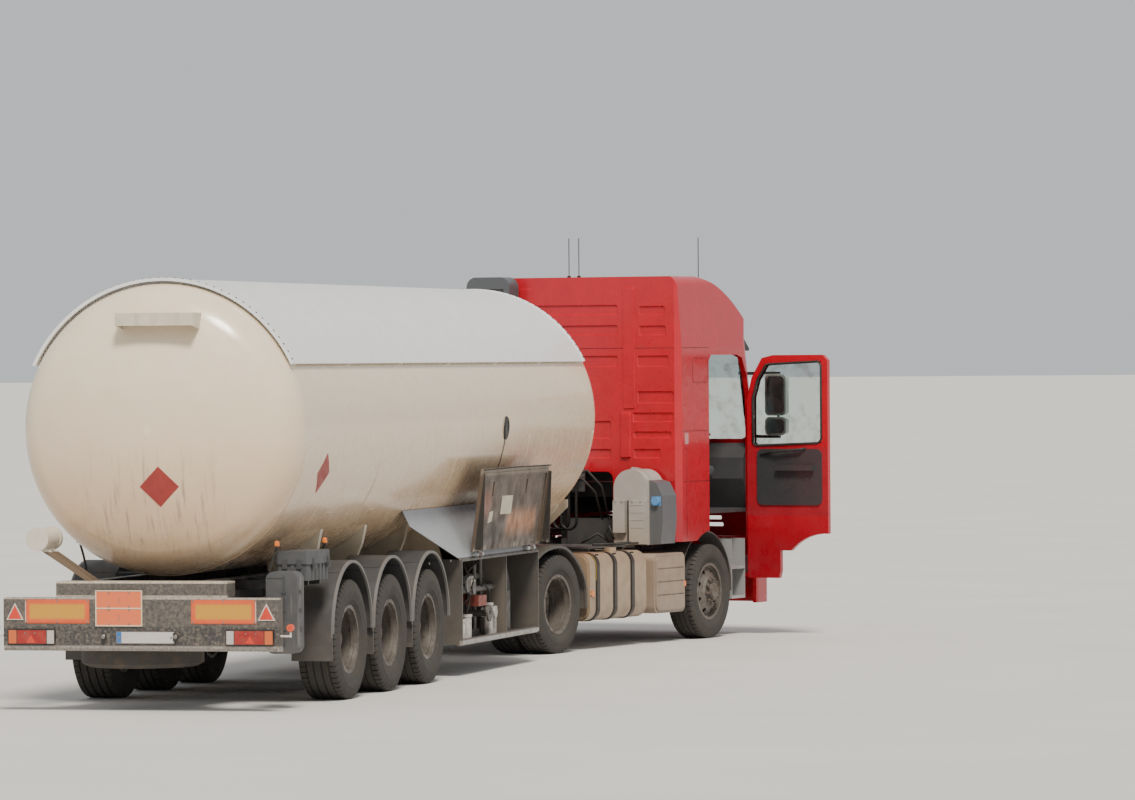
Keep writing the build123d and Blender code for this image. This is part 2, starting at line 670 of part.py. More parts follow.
# Locker and side guards on the left
locker_front = CABINET_REAR + LOCKER_LENGTH
with BuildPart() as left_locker:
    block((CABINET_REAR, locker_front), (CABINET_IN, CABINET_OUT), (LOCKER_FLOOR, CABINET_TOP))
    fillet(left_locker.edges().filter_by(Axis.X), radius=25)
    for door in range(3):
        x = CABINET_REAR + 20 + door * (LOCKER_LENGTH - 10) / 3
        block(
            (x, x + LOCKER_LENGTH / 3 - 40),
            (CABINET_OUT - 30, CABINET_OUT + 12),
            (LOCKER_FLOOR + 40, CABINET_TOP - 40),
        )
        block((x + 205, x + 255), (CABINET_OUT + 5, CABINET_OUT + 22), (CABINET_TOP - 130, CABINET_TOP - 100))
    for z in (LOCKER_FLOOR, LOCKER_FLOOR + 340):
        block((locker_front, LEG_X + 40), (CABINET_OUT - 45, CABINET_OUT), (z, z + 120))
    block(about(LEG_X, 60), (CABINET_OUT - 105, CABINET_OUT - 45), (LOCKER_FLOOR, 880))
    block(about(LEG_X, 60), (LEG_Y + LEG_TUBE / 2, CABINET_OUT - 105), (700, 760))
keep(left_locker.part, "left_locker", "trailer")

# Tank supports: skid plate with kingpin and bolsters, saddles, hangers, leg cradle and head bracket
saddle_top = BEAM_TOP + SADDLE_RISE
leg_top = TANK_HEIGHT - sqrt(TANK_RADIUS**2 - LEG_Y**2)
with BuildPart() as tank_supports:
    skid_y = (-SKID_HALF_WIDTH, SKID_HALF_WIDTH)
    block((SKID_REAR, SKID_FRONT), skid_y, (SKID_HEIGHT, SKID_HEIGHT + SKID_PLATE))
    for x in BOLSTER_X:
        with BuildSketch(Plane.YZ.offset(x)):
            Polygon(
                (-SKID_HALF_WIDTH, SKID_HEIGHT),
                (SKID_HALF_WIDTH, SKID_HEIGHT),
                (BOLSTER_OUT, saddle_top - 80),
                (BOLSTER_OUT, saddle_top),
                (-BOLSTER_OUT, saddle_top),
                (-BOLSTER_OUT, saddle_top - 80),
                align=None,
            )
        extrude(amount=BOLSTER_PLATE)
    for side in (-1, 1):
        with BuildSketch(side_plane(side * (SKID_HALF_WIDTH - 60) + 10)):
            Polygon(
                (SKID_REAR - 900, leg_top + 150),
                (SKID_REAR - 900, leg_top + 60),
                (SKID_REAR + 60, SKID_HEIGHT + 5),
                (SKID_FRONT - 250, SKID_HEIGHT + 5),
                (SKID_FRONT - 420, saddle_top - 200),
                align=None,
            )
        extrude(amount=20)
    for x in (LEG_X - LEG_FOOT - 12, LEG_X + LEG_FOOT):
        with BuildSketch(Plane.YZ.offset(x)):
            for side in (-1, 1):
                Polygon(
                    (side * (LEG_Y - 220), leg_top - 120),
                    (side * (LEG_Y - 160), leg_top - 220),
                    (side * (LEG_Y + 120), leg_top - 220),
                    (side * (LEG_Y + 240), leg_top + 150),
                    (side * (LEG_Y + 240), leg_top + 330),
                    (side * (LEG_Y - 220), leg_top + 100),
                    align=None,
                )
        extrude(amount=12)
    for x in SADDLE_X:
        with BuildSketch(Plane.YZ.offset(x - SADDLE_THICKNESS / 2)):
            for side in (-1, 1):
                Polygon(
                    (side * SADDLE_IN, BEAM_TOP),
                    (side * (BEAM_Y + BEAM_FLANGE), BEAM_TOP),
                    *((side * y, z) for y, z in SADDLE_EDGE),
                    (side * SADDLE_OUT, saddle_top - SADDLE_LIP),
                    (side * SADDLE_OUT, saddle_top),
                    (side * SADDLE_IN, saddle_top),
                    align=None,
                )
        extrude(amount=SADDLE_THICKNESS)
    for x in HANGER_X:
        with BuildSketch(Plane.YZ.offset(x - HANGER_PLATE / 2)):
            for side in (-1, 1):
                Polygon(
                    (side * HANGER_Y[0], CABINET_TOP),
                    (side * HANGER_Y[1], CABINET_TOP),
                    (side * (HANGER_Y[1] - 120), CABINET_TOP + 400),
                    (side * HANGER_Y[0], CABINET_TOP + 400),
                    align=None,
                )
        extrude(amount=HANGER_PLATE)
    bracket_rear = TANK_REAR - BRACKET_REACH
    bracket_z = (TANK_HEIGHT + BRACKET_RISE[0], TANK_HEIGHT + BRACKET_RISE[1])
    block((bracket_rear, TANK_REAR), BRACKET_Y, (bracket_z[1] - 14, bracket_z[1]))
    block((bracket_rear, bracket_rear + 14), BRACKET_Y, (bracket_z[1] - 110, bracket_z[1]))
    for y in (BRACKET_Y[0], BRACKET_Y[1] - 14):
        with BuildSketch(side_plane(y + 14)):
            Polygon(
                (bracket_rear, bracket_z[1] - 110),
                (bracket_rear, bracket_z[1]),
                (TANK_REAR, bracket_z[1]),
                (TANK_REAR - 200, bracket_z[0]),
                align=None,
            )
        extrude(amount=14)
    add(tank_block(SEAT_GAP), mode=Mode.SUBTRACT)
    rod((KINGPIN_X, 0, SKID_HEIGHT - KINGPIN_LENGTH / 2), KINGPIN_RADIUS, KINGPIN_LENGTH, "z")
keep(tank_supports.part, "tank_supports", "trailer")

# Landing legs: outer tube, inner tube, foot, gearbox, cross shaft and crank
with BuildPart() as landing_legs:
    for side in (-1, 1):
        y = side * LEG_Y
        block(about(LEG_X, LEG_TUBE), about(y, LEG_TUBE), (LEG_SPLIT, leg_top + 200))
        block(about(LEG_X, LEG_INNER), about(y, LEG_INNER), (LEG_BOTTOM, LEG_SPLIT))
        with BuildSketch(side_plane(y + LEG_FOOT)):
            Polygon(
                (LEG_X - LEG_FOOT, LEG_BOTTOM),
                (LEG_X + LEG_FOOT, LEG_BOTTOM),
                (LEG_X + LEG_FOOT / 2, LEG_BOTTOM + 50),
                (LEG_X - LEG_FOOT / 2, LEG_BOTTOM + 50),
                align=None,
            )
        extrude(amount=2 * LEG_FOOT)
        block(about(LEG_X, LEG_TUBE + 40), about(y, LEG_TUBE + 40), (LEG_SPLIT, LEG_SPLIT + 30))
        block(about(LEG_X, 2 * LEG_FOOT), about(y, LEG_TUBE), (leg_top - 200, leg_top - 60))
    rod((LEG_X, 0, 900), 20, 2 * LEG_Y, "y")
    block(about(LEG_X, 150), about(-LEG_Y - LEG_TUBE / 2 - 40, 90), (820, 980))
    add(tank_block(SEAT_GAP), mode=Mode.SUBTRACT)
keep(landing_legs.part, "landing_legs", "trailer")

# Rear end: a folded sheet bumper with lamp cut-outs, on arms, and the box beam behind it
bumper_front = BUMPER_REAR + BUMPER_DEPTH
with BuildPart() as rear_bumper:
    with BuildSketch(Plane.XZ.offset(-BUMPER_HALF)):
        with BuildLine() as bumper_line:
            edge = Polyline(
                (bumper_front, BUMPER_HIGH),
                (BUMPER_REAR, BUMPER_HIGH),
                (BUMPER_REAR, BUMPER_LOW + BUMPER_LIP),
            )
            ThreePointArc(
                edge @ 1,
                (BUMPER_REAR + 0.29 * BUMPER_LIP, BUMPER_LOW + 0.29 * BUMPER_LIP),
                (BUMPER_REAR + BUMPER_LIP, BUMPER_LOW),
            )
            Line((BUMPER_REAR + BUMPER_LIP, BUMPER_LOW), (bumper_front, BUMPER_LOW))
            offset(amount=BUMPER_SHEET, side=Side.LEFT)
        make_face()
    extrude(amount=2 * BUMPER_HALF)
    for side in (-1, 1):
        ends = sorted((side * BUMPER_HALF, side * (BUMPER_HALF - BUMPER_SHEET)))
        block((BUMPER_REAR + 2, bumper_front), ends, (BUMPER_LOW + 2, BUMPER_HIGH - 1))
        lamp_x = (BUMPER_REAR - 1, BUMPER_REAR + BUMPER_SHEET + 1)
        block(lamp_x, sorted((side * LAMP_Y[0], side * LAMP_Y[1])), LAMP_Z, mode=Mode.SUBTRACT)
        arm = about(side * BEAM_Y, 80)
        block((BUMPER_REAR + BUMPER_SHEET, BEAM_REAR), arm, (BUMPER_HIGH - 90, BUMPER_HIGH - BUMPER_SHEET))
    with BuildSketch(Plane.XZ.offset(-REAR_BOX_HALF)):
        Polygon(
            (BUMPER_REAR + 30, BUMPER_HIGH),
            (BUMPER_REAR + 30, REAR_BOX_TOP - 12),
            (BUMPER_REAR + 42, REAR_BOX_TOP),
            (BEAM_REAR, REAR_BOX_TOP),
            (BEAM_REAR, BUMPER_HIGH),
            align=None,
        )
    extrude(amount=2 * REAR_BOX_HALF)
    plate_y = (BOTTLE_BOX_Y[1], BOTTLE_BOX_Y[1] + BUMPER_SHEET)
    carrier_x = (BUMPER_REAR + BUMPER_SHEET, BOTTLE_BOX_X[1] - 60)
    block(carrier_x, plate_y, (LAMP_Z[1] + 20, BUMPER_HIGH - BUMPER_SHEET))
keep(rear_bumper.part, "rear_bumper", "trailer")

# Lamps in their cut-outs, reflector boards, triangles, blank plates and the end lamps on arms
with BuildPart() as rear_lamps:
    for side in (-1, 1):
        y = sorted((side * (LAMP_Y[0] + SEAT_GAP), side * (LAMP_Y[1] - SEAT_GAP)))
        z = (LAMP_Z[0] + SEAT_GAP, LAMP_Z[1] - SEAT_GAP)
        block((BUMPER_REAR, BUMPER_REAR + 60), y, z)
        with BuildSketch(Plane.YZ.offset(BUMPER_REAR - LAMP_PROUD)):
            with Locations((sum(y) / 2, sum(LAMP_Z) / 2)):
                RectangleRounded(y[1] - y[0] - 16, LAMP_Z[1] - LAMP_Z[0] - 16, 16)
        extrude(amount=LAMP_PROUD)
        for low, high, outward in ((0, BOARD, 0), (BOARD, BOARD + 3, 10)):
            y = sorted((side * (REFLECTOR_Y[0] + outward), side * (REFLECTOR_Y[1] - outward)))
            board_z = (REFLECTOR_Z[0] + outward, REFLECTOR_Z[1] - outward)
            block((BUMPER_REAR - high, BUMPER_REAR - low), y, board_z)
        with BuildSketch(Plane.YZ.offset(BUMPER_REAR - 2 * BOARD)):
            Polygon((side * 1056, 797), (side * 1213, 797), (side * 1134, 945), align=None)
        extrude(amount=2 * BOARD)
        rod((BUMPER_REAR + 60, side * (BUMPER_HALF + 45), 662), 9, 90, "y")
        rod((BUMPER_REAR + 60, side * (BUMPER_HALF + 90), 690), 9, 74, "z")
        rod((BUMPER_REAR + 60, side * (BUMPER_HALF + 90), 735), 30, 42, "x")
        rod((BUMPER_REAR - 18, side * 325, 657), 22, 36, "x")
    block((BUMPER_REAR - 2 * BOARD, BUMPER_REAR), HAZARD_Y, HAZARD_Z)
    hazard_middle = sum(HAZARD_Z) / 2
    for z in (HAZARD_Z[0], hazard_middle - 4, HAZARD_Z[1] - 8):
        block((BUMPER_REAR - 3 * BOARD, BUMPER_REAR - 2 * BOARD), HAZARD_Y, (z, z + 8))
    for y in (HAZARD_Y[0], HAZARD_Y[1] - 8):
        block((BUMPER_REAR - 3 * BOARD, BUMPER_REAR - 2 * BOARD), (y, y + 8), HAZARD_Z)
    block((BUMPER_REAR - 2 * BOARD, BUMPER_REAR), PLATE_Y, PLATE_Z)
keep(rear_lamps.part, "rear_lamps", "trailer")

# Ribbed toolbox with its lid, rounded extinguisher box with its lid and straps, and the document tube
with BuildPart() as rear_boxes:
    lid = TOOLBOX_Z[1] - TOOLBOX_LID
    block(TOOLBOX_X, TOOLBOX_Y, (TOOLBOX_Z[0], lid))
    fillet(rear_boxes.edges().filter_by(Axis.Z), radius=30)
    for rib in range(5):
        x = TOOLBOX_X[0] + 75 + rib * 108
        block((x, x + TOOLBOX_RIB), (TOOLBOX_Y[0] - 10, TOOLBOX_Y[0] + 5), (TOOLBOX_Z[0], lid - 10))
    for rib in range(3):
        y = TOOLBOX_Y[0] + 55 + rib * 83
        block((TOOLBOX_X[0] - 10, TOOLBOX_X[0] + 5), (y, y + TOOLBOX_RIB), (TOOLBOX_Z[0], lid - 10))
    with BuildSketch(Plane.XY.offset(lid)):
        with Locations((sum(TOOLBOX_X) / 2, sum(TOOLBOX_Y) / 2)):
            RectangleRounded(TOOLBOX_X[1] - TOOLBOX_X[0] + 30, TOOLBOX_Y[1] - TOOLBOX_Y[0] + 30, 45)
    extrude(amount=TOOLBOX_LID)
    with BuildSketch(Plane.YZ.offset(BOTTLE_BOX_X[0])):
        with Locations((sum(BOTTLE_BOX_Y) / 2, sum(BOTTLE_BOX_Z) / 2)):
            box_tall = BOTTLE_BOX_Z[1] - BOTTLE_BOX_Z[0]
            RectangleRounded(BOTTLE_BOX_Y[1] - BOTTLE_BOX_Y[0], box_tall, BOTTLE_BOX_CORNER)
    extrude(amount=BOTTLE_BOX_X[1] - BOTTLE_BOX_X[0])
    tube_length = TUBE_X[1] - TUBE_X[0]
    rod((sum(TUBE_X) / 2, TUBE_Y, TUBE_Z), TUBE_RADIUS, tube_length, "x")
    for x in (TUBE_X[0] + 25, TUBE_X[1] - 25):
        rod((x, TUBE_Y, TUBE_Z), TUBE_RADIUS + 8, 50, "x")
    for x in (-2090, -1930):
        with BuildSketch(Plane.YZ.offset(x)):
            Polygon(
                (BEAM_Y - 30, BEAM_TOP),
                (BEAM_Y + 30, BEAM_TOP),
                (TUBE_Y + 20, TUBE_Z - TUBE_RADIUS + 8),
                (TUBE_Y - 45, TUBE_Z - TUBE_RADIUS + 20),
                align=None,
            )
        extrude(amount=24)
keep(rear_boxes.part, "rear_boxes", "trailer")


# Wheels: every tyre is a ring of one section, every rim a turned form with a hub
BEAD_RADIUS = 288
RIM_SHEET = 12
HUB_RADIUS = 112
HUB_FLANGE = 150
HAND_HOLES = 8
HAND_HOLE = 26
HAND_HOLE_PITCH = 218


def tyre_ring(plane, shift, radius, width):
    """A tyre about its wheel plane's first axis, its middle shifted outward."""
    bead = width * 0.375
    with BuildSketch(plane) as ring:
        with BuildLine():
            half = width / 2
            Polyline(
                (shift - bead, BEAD_RADIUS + 25),
                (shift - bead, BEAD_RADIUS + SEAT_GAP),
                (shift + bead, BEAD_RADIUS + SEAT_GAP),
                (shift + bead, BEAD_RADIUS + 25),
            )
            ThreePointArc(
                (shift + bead, BEAD_RADIUS + 25),
                (shift + half, radius - 118),
                (shift + half * 0.93, radius - 40),
            )
            Polyline(
                (shift + half * 0.93, radius - 40),
                (shift + half * 0.80, radius),
                (shift - half * 0.80, radius),
                (shift - half * 0.93, radius - 40),
            )
            ThreePointArc(
                (shift - half * 0.93, radius - 40),
                (shift - half, radius - 118),
                (shift - bead, BEAD_RADIUS + 25),
            )
        make_face()
    return ring.sketch


def barrel_section(shift, width):
    """The rim's barrel, its two lips and the drop between them, as sketch rectangles."""
    bead = width * 0.375
    patch((shift - bead - 10, shift + bead + 10), (BEAD_RADIUS - RIM_SHEET, BEAD_RADIUS))
    for side in (-1, 1):
        patch(
            sorted((shift + side * (bead + SEAT_GAP), shift + side * (bead + 10))),
            (BEAD_RADIUS - RIM_SHEET, BEAD_RADIUS + 20),
        )
        lock_ring = sorted((shift + side * (bead - 24), shift + side * (bead - 52)))
        patch(lock_ring, (BEAD_RADIUS - 30, BEAD_RADIUS - 10))


def dish_section(outer, inner, inner_radius):
    """The pressed disc from the barrel down to the hub, as a sketch polygon."""
    crown = outer + 0.25 * (inner - outer)
    Polygon(
        (outer - 7, BEAD_RADIUS - RIM_SHEET + 1),
        (outer + 7, BEAD_RADIUS - RIM_SHEET + 1),
        (crown + 7, HAND_HOLE_PITCH + 34),
        (inner - 12, inner_radius + 20),
        (inner + 7, inner_radius),
        (inner + 7, inner_radius - 40),
        (inner - 7, inner_radius - 40),
        (inner - 7, inner_radius - 2),
        (inner - 26, inner_radius + 18),
        (crown - 7, HAND_HOLE_PITCH + 30),
        align=None,
    )


# name, frame, forward place, side, how far out the wheel's middle is
WHEELS = []
for number in range(AXLE_COUNT):
    for side, word in ((1, "left"), (-1, "right")):
        WHEELS.append((f"trailer_{number + 1}_{word}", "trailer", number * AXLE_SPACING, side, hub_reach))
drive_reach = DRIVE_OUTER_FACE - TYRE_WIDTH / 2 - TWIN_SPACING / 2
front_reach = FRONT_OUTER_FACE - TYRE_WIDTH / 2
for kind, x, reach in (("drive", 0, drive_reach), ("front", WHEELBASE, front_reach)):
    for side, word in ((1, "left"), (-1, "right")):
        WHEELS.append((f"{kind}_{word}", "tractor", x, side, reach))

# Places along the wheel's axis are measured outward from its middle; discs are (at the barrel, at the hub)
KINDS = {
    "trailer": dict(
        tyre=(TRAILER_TYRE_RADIUS, TRAILER_TYRE_WIDTH),
        shifts=(0,),
        discs=((-70, -95),),
        hub=(HUB_IN, HUB_OUT),
        spindle=SPINDLE_END,
        drum=(-185, -110),
    ),
    "drive": dict(
        tyre=(TYRE_RADIUS, TYRE_WIDTH),
        shifts=(-TWIN_SPACING / 2, TWIN_SPACING / 2),
        discs=((-70, -9), (70, 9)),
        hub=(-330, 120),
        spindle=-62,
        drum=(-320, -150),
    ),
    "front": dict(
        tyre=(TYRE_RADIUS, TYRE_WIDTH),
        shifts=(0,),
        discs=((60, 140),),
        hub=(-60, 185),
        spindle=60,
        drum=(-55, 30),
    ),
}

for name, frame, x, side, reach in WHEELS:
    kind = KINDS[name.split("_")[0]]
    radius, width = kind["tyre"]
    hub = kind["hub"]
    drum = kind["drum"]
    plane = hub_plane(x, side * reach, radius, side)
    spin = Axis((x, side * reach, radius), (0, 1, 0))
    with BuildPart() as tyre:
        for shift in kind["shifts"]:
            revolve(tyre_ring(plane, shift, radius, width), axis=spin)
    keep(tyre.part, f"tyre_{name}", frame)
    with BuildPart() as rim:
        with BuildSketch(plane):
            for shift in kind["shifts"]:
                barrel_section(shift, width)
            for outer, inner in kind["discs"]:
                dish_section(outer, inner, HUB_FLANGE)
            patch((kind["spindle"], hub[1] - 30), (0, HUB_RADIUS))
            patch((hub[1] - 30, hub[1]), (0, HUB_RADIUS - 18))
            patch((hub[0], kind["spindle"]), (SPINDLE_RADIUS + SPINDLE_FIT, HUB_RADIUS))
            patch(drum, (DRUM_RADIUS - DRUM_SHEET, DRUM_RADIUS))
            patch((drum[1] - 14, drum[1]), (HUB_RADIUS - 12, DRUM_RADIUS))
        revolve(axis=spin)
        outer, inner = kind["discs"][-1]
        disc = side * (reach + (outer + inner) / 2)
        for turn in range(HAND_HOLES):
            angle = radians(360 * (turn + 0.5) / HAND_HOLES)
            hole = (x + HAND_HOLE_PITCH * cos(angle), disc, radius + HAND_HOLE_PITCH * sin(angle))
            rod(hole, HAND_HOLE, abs(outer - inner) + 60, "y", mode=Mode.SUBTRACT)
    keep(rim.part, f"rim_{name}", frame)

# Spare wheel, flat under the trailer's rear, hung on a screw from a crossmember
spare_middle = SPARE_LOW + TRAILER_TYRE_WIDTH / 2
spare_plane = Plane((SPARE_X, SPARE_Y, spare_middle), x_dir=(0, 0, 1), z_dir=(0, -1, 0))
spare_axis = Axis((SPARE_X, SPARE_Y, spare_middle), (0, 0, 1))
with BuildPart() as spare_wheel:
    revolve(tyre_ring(spare_plane, 0, TRAILER_TYRE_RADIUS, TRAILER_TYRE_WIDTH), axis=spare_axis)
    with BuildSketch(spare_plane):
        barrel_section(0, TRAILER_TYRE_WIDTH)
        dish_section(70, 95, HUB_FLANGE)
        patch((88, 102), (0, HUB_FLANGE - 38))
    revolve(axis=spare_axis)
    screw_low = spare_middle + 95
    rod((SPARE_X, SPARE_Y, (screw_low + cross_low) / 2), 22, cross_low - screw_low, "z")
keep(spare_wheel.part, "spare_wheel", "trailer")

# Tractor frame: two channel rails with crossmembers, and the cab's mounts
rail_low = RAIL_TOP - RAIL_DEPTH
rail_out = RAIL_Y + RAIL_PLATE / 2
RAIL_CROSS_X = (-700, -150, 1500, 2240, WHEELBASE + 980)
CROSS_HALF = 40
CAB_MOUNT_Y = (430, 515)

with BuildPart() as tractor_frame:
    for side in (-1, 1):
        web = sorted((side * (RAIL_Y - RAIL_PLATE / 2), side * rail_out))
        flange = sorted((side * (rail_out - RAIL_FLANGE), side * rail_out))
        block((RAIL_REAR, RAIL_FRONT), web, (rail_low, RAIL_TOP))
        block((RAIL_REAR, RAIL_FRONT), flange, (RAIL_TOP - RAIL_PLATE, RAIL_TOP))
        block((RAIL_REAR, RAIL_FRONT), flange, (rail_low, rail_low + RAIL_PLATE))
        mount = sorted((side * CAB_MOUNT_Y[0], side * CAB_MOUNT_Y[1]))
        block((CAB_REAR, CAB_REAR + 60), mount, (RAIL_TOP, CAB_LOW))
        post = sorted((side * (RAIL_Y - 45), side * (RAIL_Y + 55)))
        block((RAIL_FRONT - 120, RAIL_FRONT - 20), post, (RAIL_TOP - RAIL_PLATE, FLOOR_HEIGHT))
    block((CAB_REAR, CAB_REAR + 60), (-CAB_MOUNT_Y[1], CAB_MOUNT_Y[1]), (RAIL_TOP, RAIL_TOP + 70))
    for x in RAIL_CROSS_X:
        block((x - CROSS_HALF, x + CROSS_HALF), (-RAIL_Y, RAIL_Y), (rail_low + 60, RAIL_TOP - 60))
keep(tractor_frame.part, "tractor_frame", "tractor")

# Engine, gearbox and radiator stand in as plain blocks of their real size
with BuildPart() as engine_block:
    block((WHEELBASE - 520, WHEELBASE + 860), (-ENGINE_HALF, ENGINE_HALF), (560, 1300))
    block((WHEELBASE - 1240, WHEELBASE - 520), (-220, 220), (600, 900))
    block((WHEELBASE + 859, WHEELBASE + 940), (-310, 310), (600, 1300))
    for x in (WHEELBASE - 320, WHEELBASE + 580):
        cross_y = (-RAIL_Y + RAIL_PLATE / 2, RAIL_Y - RAIL_PLATE / 2)
        block((x, x + 90), cross_y, (rail_low + 60, rail_low + 120))
keep(engine_block.part, "engine_block", "tractor")

# Drive axle with its housing, bag carriers and air bags, and the front axle's dropped beam
PIN_RADIUS = 21
with BuildPart() as tractor_axles:
    hub_end = drive_reach - 330 - RUNNING_GAP
    rod((0, 0, TYRE_RADIUS), 75, 2 * hub_end, "y")
    rod((0, 0, TYRE_RADIUS), SPINDLE_RADIUS, 2 * (drive_reach - 62), "y")
    with Locations((0, 0, TYRE_RADIUS)):
        Sphere(215)
    block((-40, 40), (-420, 420), (TYRE_RADIUS + 50, TYRE_RADIUS + 110))
    for side in (-1, 1):
        y = side * (RAIL_Y + 35)
        block((-420, 420), (y - 45, y + 45), (TYRE_RADIUS - 120, TYRE_RADIUS - 60))
        for x in (-360, 360):
            low = TYRE_RADIUS - 60
            rod((x, y, (low + rail_low) / 2), 85, rail_low - low, "z")
            rod((x, y, low + 90), 110, 100, "z")
    block((WHEELBASE - 55, WHEELBASE + 55), (-620, 620), (300, 400))
    for side in (-1, 1):
        with BuildSketch(Plane.YZ.offset(WHEELBASE - 45)):
            with BuildLine():
                Polyline(
                    (side * 540, 300),
                    (side * 680, 400),
                    (side * (KNUCKLE_Y - 60), 442),
                    (side * (KNUCKLE_Y + 20), 442),
                    (side * (KNUCKLE_Y + 20), 548),
                    (side * (KNUCKLE_Y - 60), 548),
                    (side * 680, 510),
                    (side * 540, 400),
                    close=True,
                )
            make_face()
        extrude(amount=90)
        rod((WHEELBASE, side * KNUCKLE_Y, 495), 48, 106, "z")
        y = side * (RAIL_Y - 5)
        block((WHEELBASE - 60, WHEELBASE + 60), (y - 45, y + 45), (400, rail_low))
    for side in (-1, 1):
        rod((WHEELBASE, side * KNUCKLE_Y, 495), PIN_RADIUS + 0.1, 120, "z", mode=Mode.SUBTRACT)
keep(tractor_axles.part, "tractor_axles", "tractor")

# Fifth wheel: a coupling plate with its throat, on two pedestals across the rails
FIFTH_TOP = SKID_HEIGHT - 0.5
FIFTH_PLATE = 42
FIFTH_RADIUS = 450

with BuildPart() as fifth_wheel:
    with BuildSketch(Plane.XY.offset(FIFTH_TOP - FIFTH_PLATE)):
        with Locations((FIFTH_WHEEL_LEAD, 0)):
            Circle(FIFTH_RADIUS)
        with Locations((FIFTH_WHEEL_LEAD - 480, 0)):
            Rectangle(500, 640, mode=Mode.SUBTRACT)
        patch((FIFTH_WHEEL_LEAD - 560, FIFTH_WHEEL_LEAD - 150), (-300, 300))
    extrude(amount=FIFTH_PLATE)
    with BuildSketch(Plane.XY.offset(FIFTH_TOP - FIFTH_PLATE - 1)):
        with BuildLine():
            Polyline(
                (FIFTH_WHEEL_LEAD, KINGPIN_RADIUS + KINGPIN_FIT),
                (FIFTH_WHEEL_LEAD - 200, KINGPIN_RADIUS + KINGPIN_FIT),
                (FIFTH_WHEEL_LEAD - 600, 130),
                (FIFTH_WHEEL_LEAD - 600, -130),
                (FIFTH_WHEEL_LEAD - 200, -KINGPIN_RADIUS - KINGPIN_FIT),
                (FIFTH_WHEEL_LEAD, -KINGPIN_RADIUS - KINGPIN_FIT),
                close=True,
            )
        make_face()
        with Locations((FIFTH_WHEEL_LEAD, 0)):
            Circle(KINGPIN_RADIUS + KINGPIN_FIT)
    extrude(amount=FIFTH_PLATE + 2, mode=Mode.SUBTRACT)
    for side in (-1, 1):
        y = sorted((side * 300, side * 360))
        with BuildSketch(side_plane(max(y))):
            with BuildLine():
                Polyline(
                    (FIFTH_WHEEL_LEAD - 230, RAIL_TOP),
                    (FIFTH_WHEEL_LEAD + 230, RAIL_TOP),
                    (FIFTH_WHEEL_LEAD + 110, FIFTH_TOP - FIFTH_PLATE),
                    (FIFTH_WHEEL_LEAD - 110, FIFTH_TOP - FIFTH_PLATE),
                    close=True,
                )
            make_face()
        extrude(amount=60)
    block((FIFTH_WHEEL_LEAD - 330, FIFTH_WHEEL_LEAD + 330), (-rail_out, rail_out), (RAIL_TOP, RAIL_TOP + 16))
keep(fifth_wheel.part, "fifth_wheel", "tractor")

# Mudguards: folded sheets with a thicker edge over the drive wheels, arches over the front ones
DRIVE_GUARD = ((-784, 443), (-779, 768), (-538, 1004), (-237, 1110), (185, 1110), (606, 774), (631, 440))
DRIVE_GUARD_IN = 575
DRIVE_GUARD_OUT = 1240
DRIVE_GUARD_STAYS = ((-160, 1077), (110, 1068))
GUARD_EDGE = 26
FRONT_GUARD_Y = (900, 1150)


def cut_corners(points):
    """The same open line with each of its corners cut at a quarter of the sides."""
    line = [points[0]]
    for (x0, z0), (x1, z1) in zip(points, points[1:]):
        for share in (0.25, 0.75):
            line.append((x0 + share * (x1 - x0), z0 + share * (z1 - z0)))
    return [*line, points[-1]]


def guard_sheet(plane, sheet):
    """The section of a drive wheel's mudguard, thickened inward."""
    outer = cut_corners(cut_corners(DRIVE_GUARD))
    middle = (sum(x for x, z in DRIVE_GUARD) / len(DRIVE_GUARD), TYRE_RADIUS)
    inner = []
    for x, z in outer:
        reach = sqrt((x - middle[0]) ** 2 + (z - middle[1]) ** 2)
        share = 1 - 1.15 * sheet / reach
        inner.append((middle[0] + share * (x - middle[0]), middle[1] + share * (z - middle[1])))
    with BuildSketch(plane) as section:
        Polygon(*outer, *reversed(inner), align=None)
    return section.sketch


with BuildPart() as tractor_mudguards:
    for side in (-1, 1):
        for near, sheet in ((DRIVE_GUARD_IN, GUARD_SHEET), (DRIVE_GUARD_OUT - GUARD_EDGE, GUARD_EDGE)):
            plane = side_plane(max(side * near, side * DRIVE_GUARD_OUT))
            extrude(guard_sheet(plane, sheet), amount=DRIVE_GUARD_OUT - near)
        for x, height in DRIVE_GUARD_STAYS:
            rod((x, side * (rail_out + 1180) / 2, height), 18, 1180 - rail_out, "y")
            block(about(x, 40), sorted((side * rail_out, side * (rail_out - 40))), (RAIL_TOP, height + 5))
        plane = side_plane(max(side * FRONT_GUARD_Y[0], side * FRONT_GUARD_Y[1]))
        with BuildSketch(plane):
            arc_out = FRONT_ARCH - 5
            for radius, mode in ((arc_out, Mode.ADD), (arc_out - GUARD_SHEET, Mode.SUBTRACT)):
                with Locations((WHEELBASE, TYRE_RADIUS)):
                    Circle(radius, mode=mode)
            with Locations((WHEELBASE, TYRE_RADIUS - FRONT_ARCH)):
                Rectangle(3 * FRONT_ARCH, 2 * FRONT_ARCH, mode=Mode.SUBTRACT)
        extrude(amount=FRONT_GUARD_Y[1] - FRONT_GUARD_Y[0])
        height = TYRE_RADIUS + FRONT_ARCH - 5 - GUARD_SHEET - 12
        rod((WHEELBASE, side * (rail_out + 1120) / 2, height), 14, 1120 - rail_out, "y")
        foot_y = sorted((side * rail_out, side * (rail_out - 30)))
        block(about(WHEELBASE, 30), foot_y, (RAIL_TOP, height + 10))
keep(tractor_mudguards.part, "tractor_mudguards", "tractor")

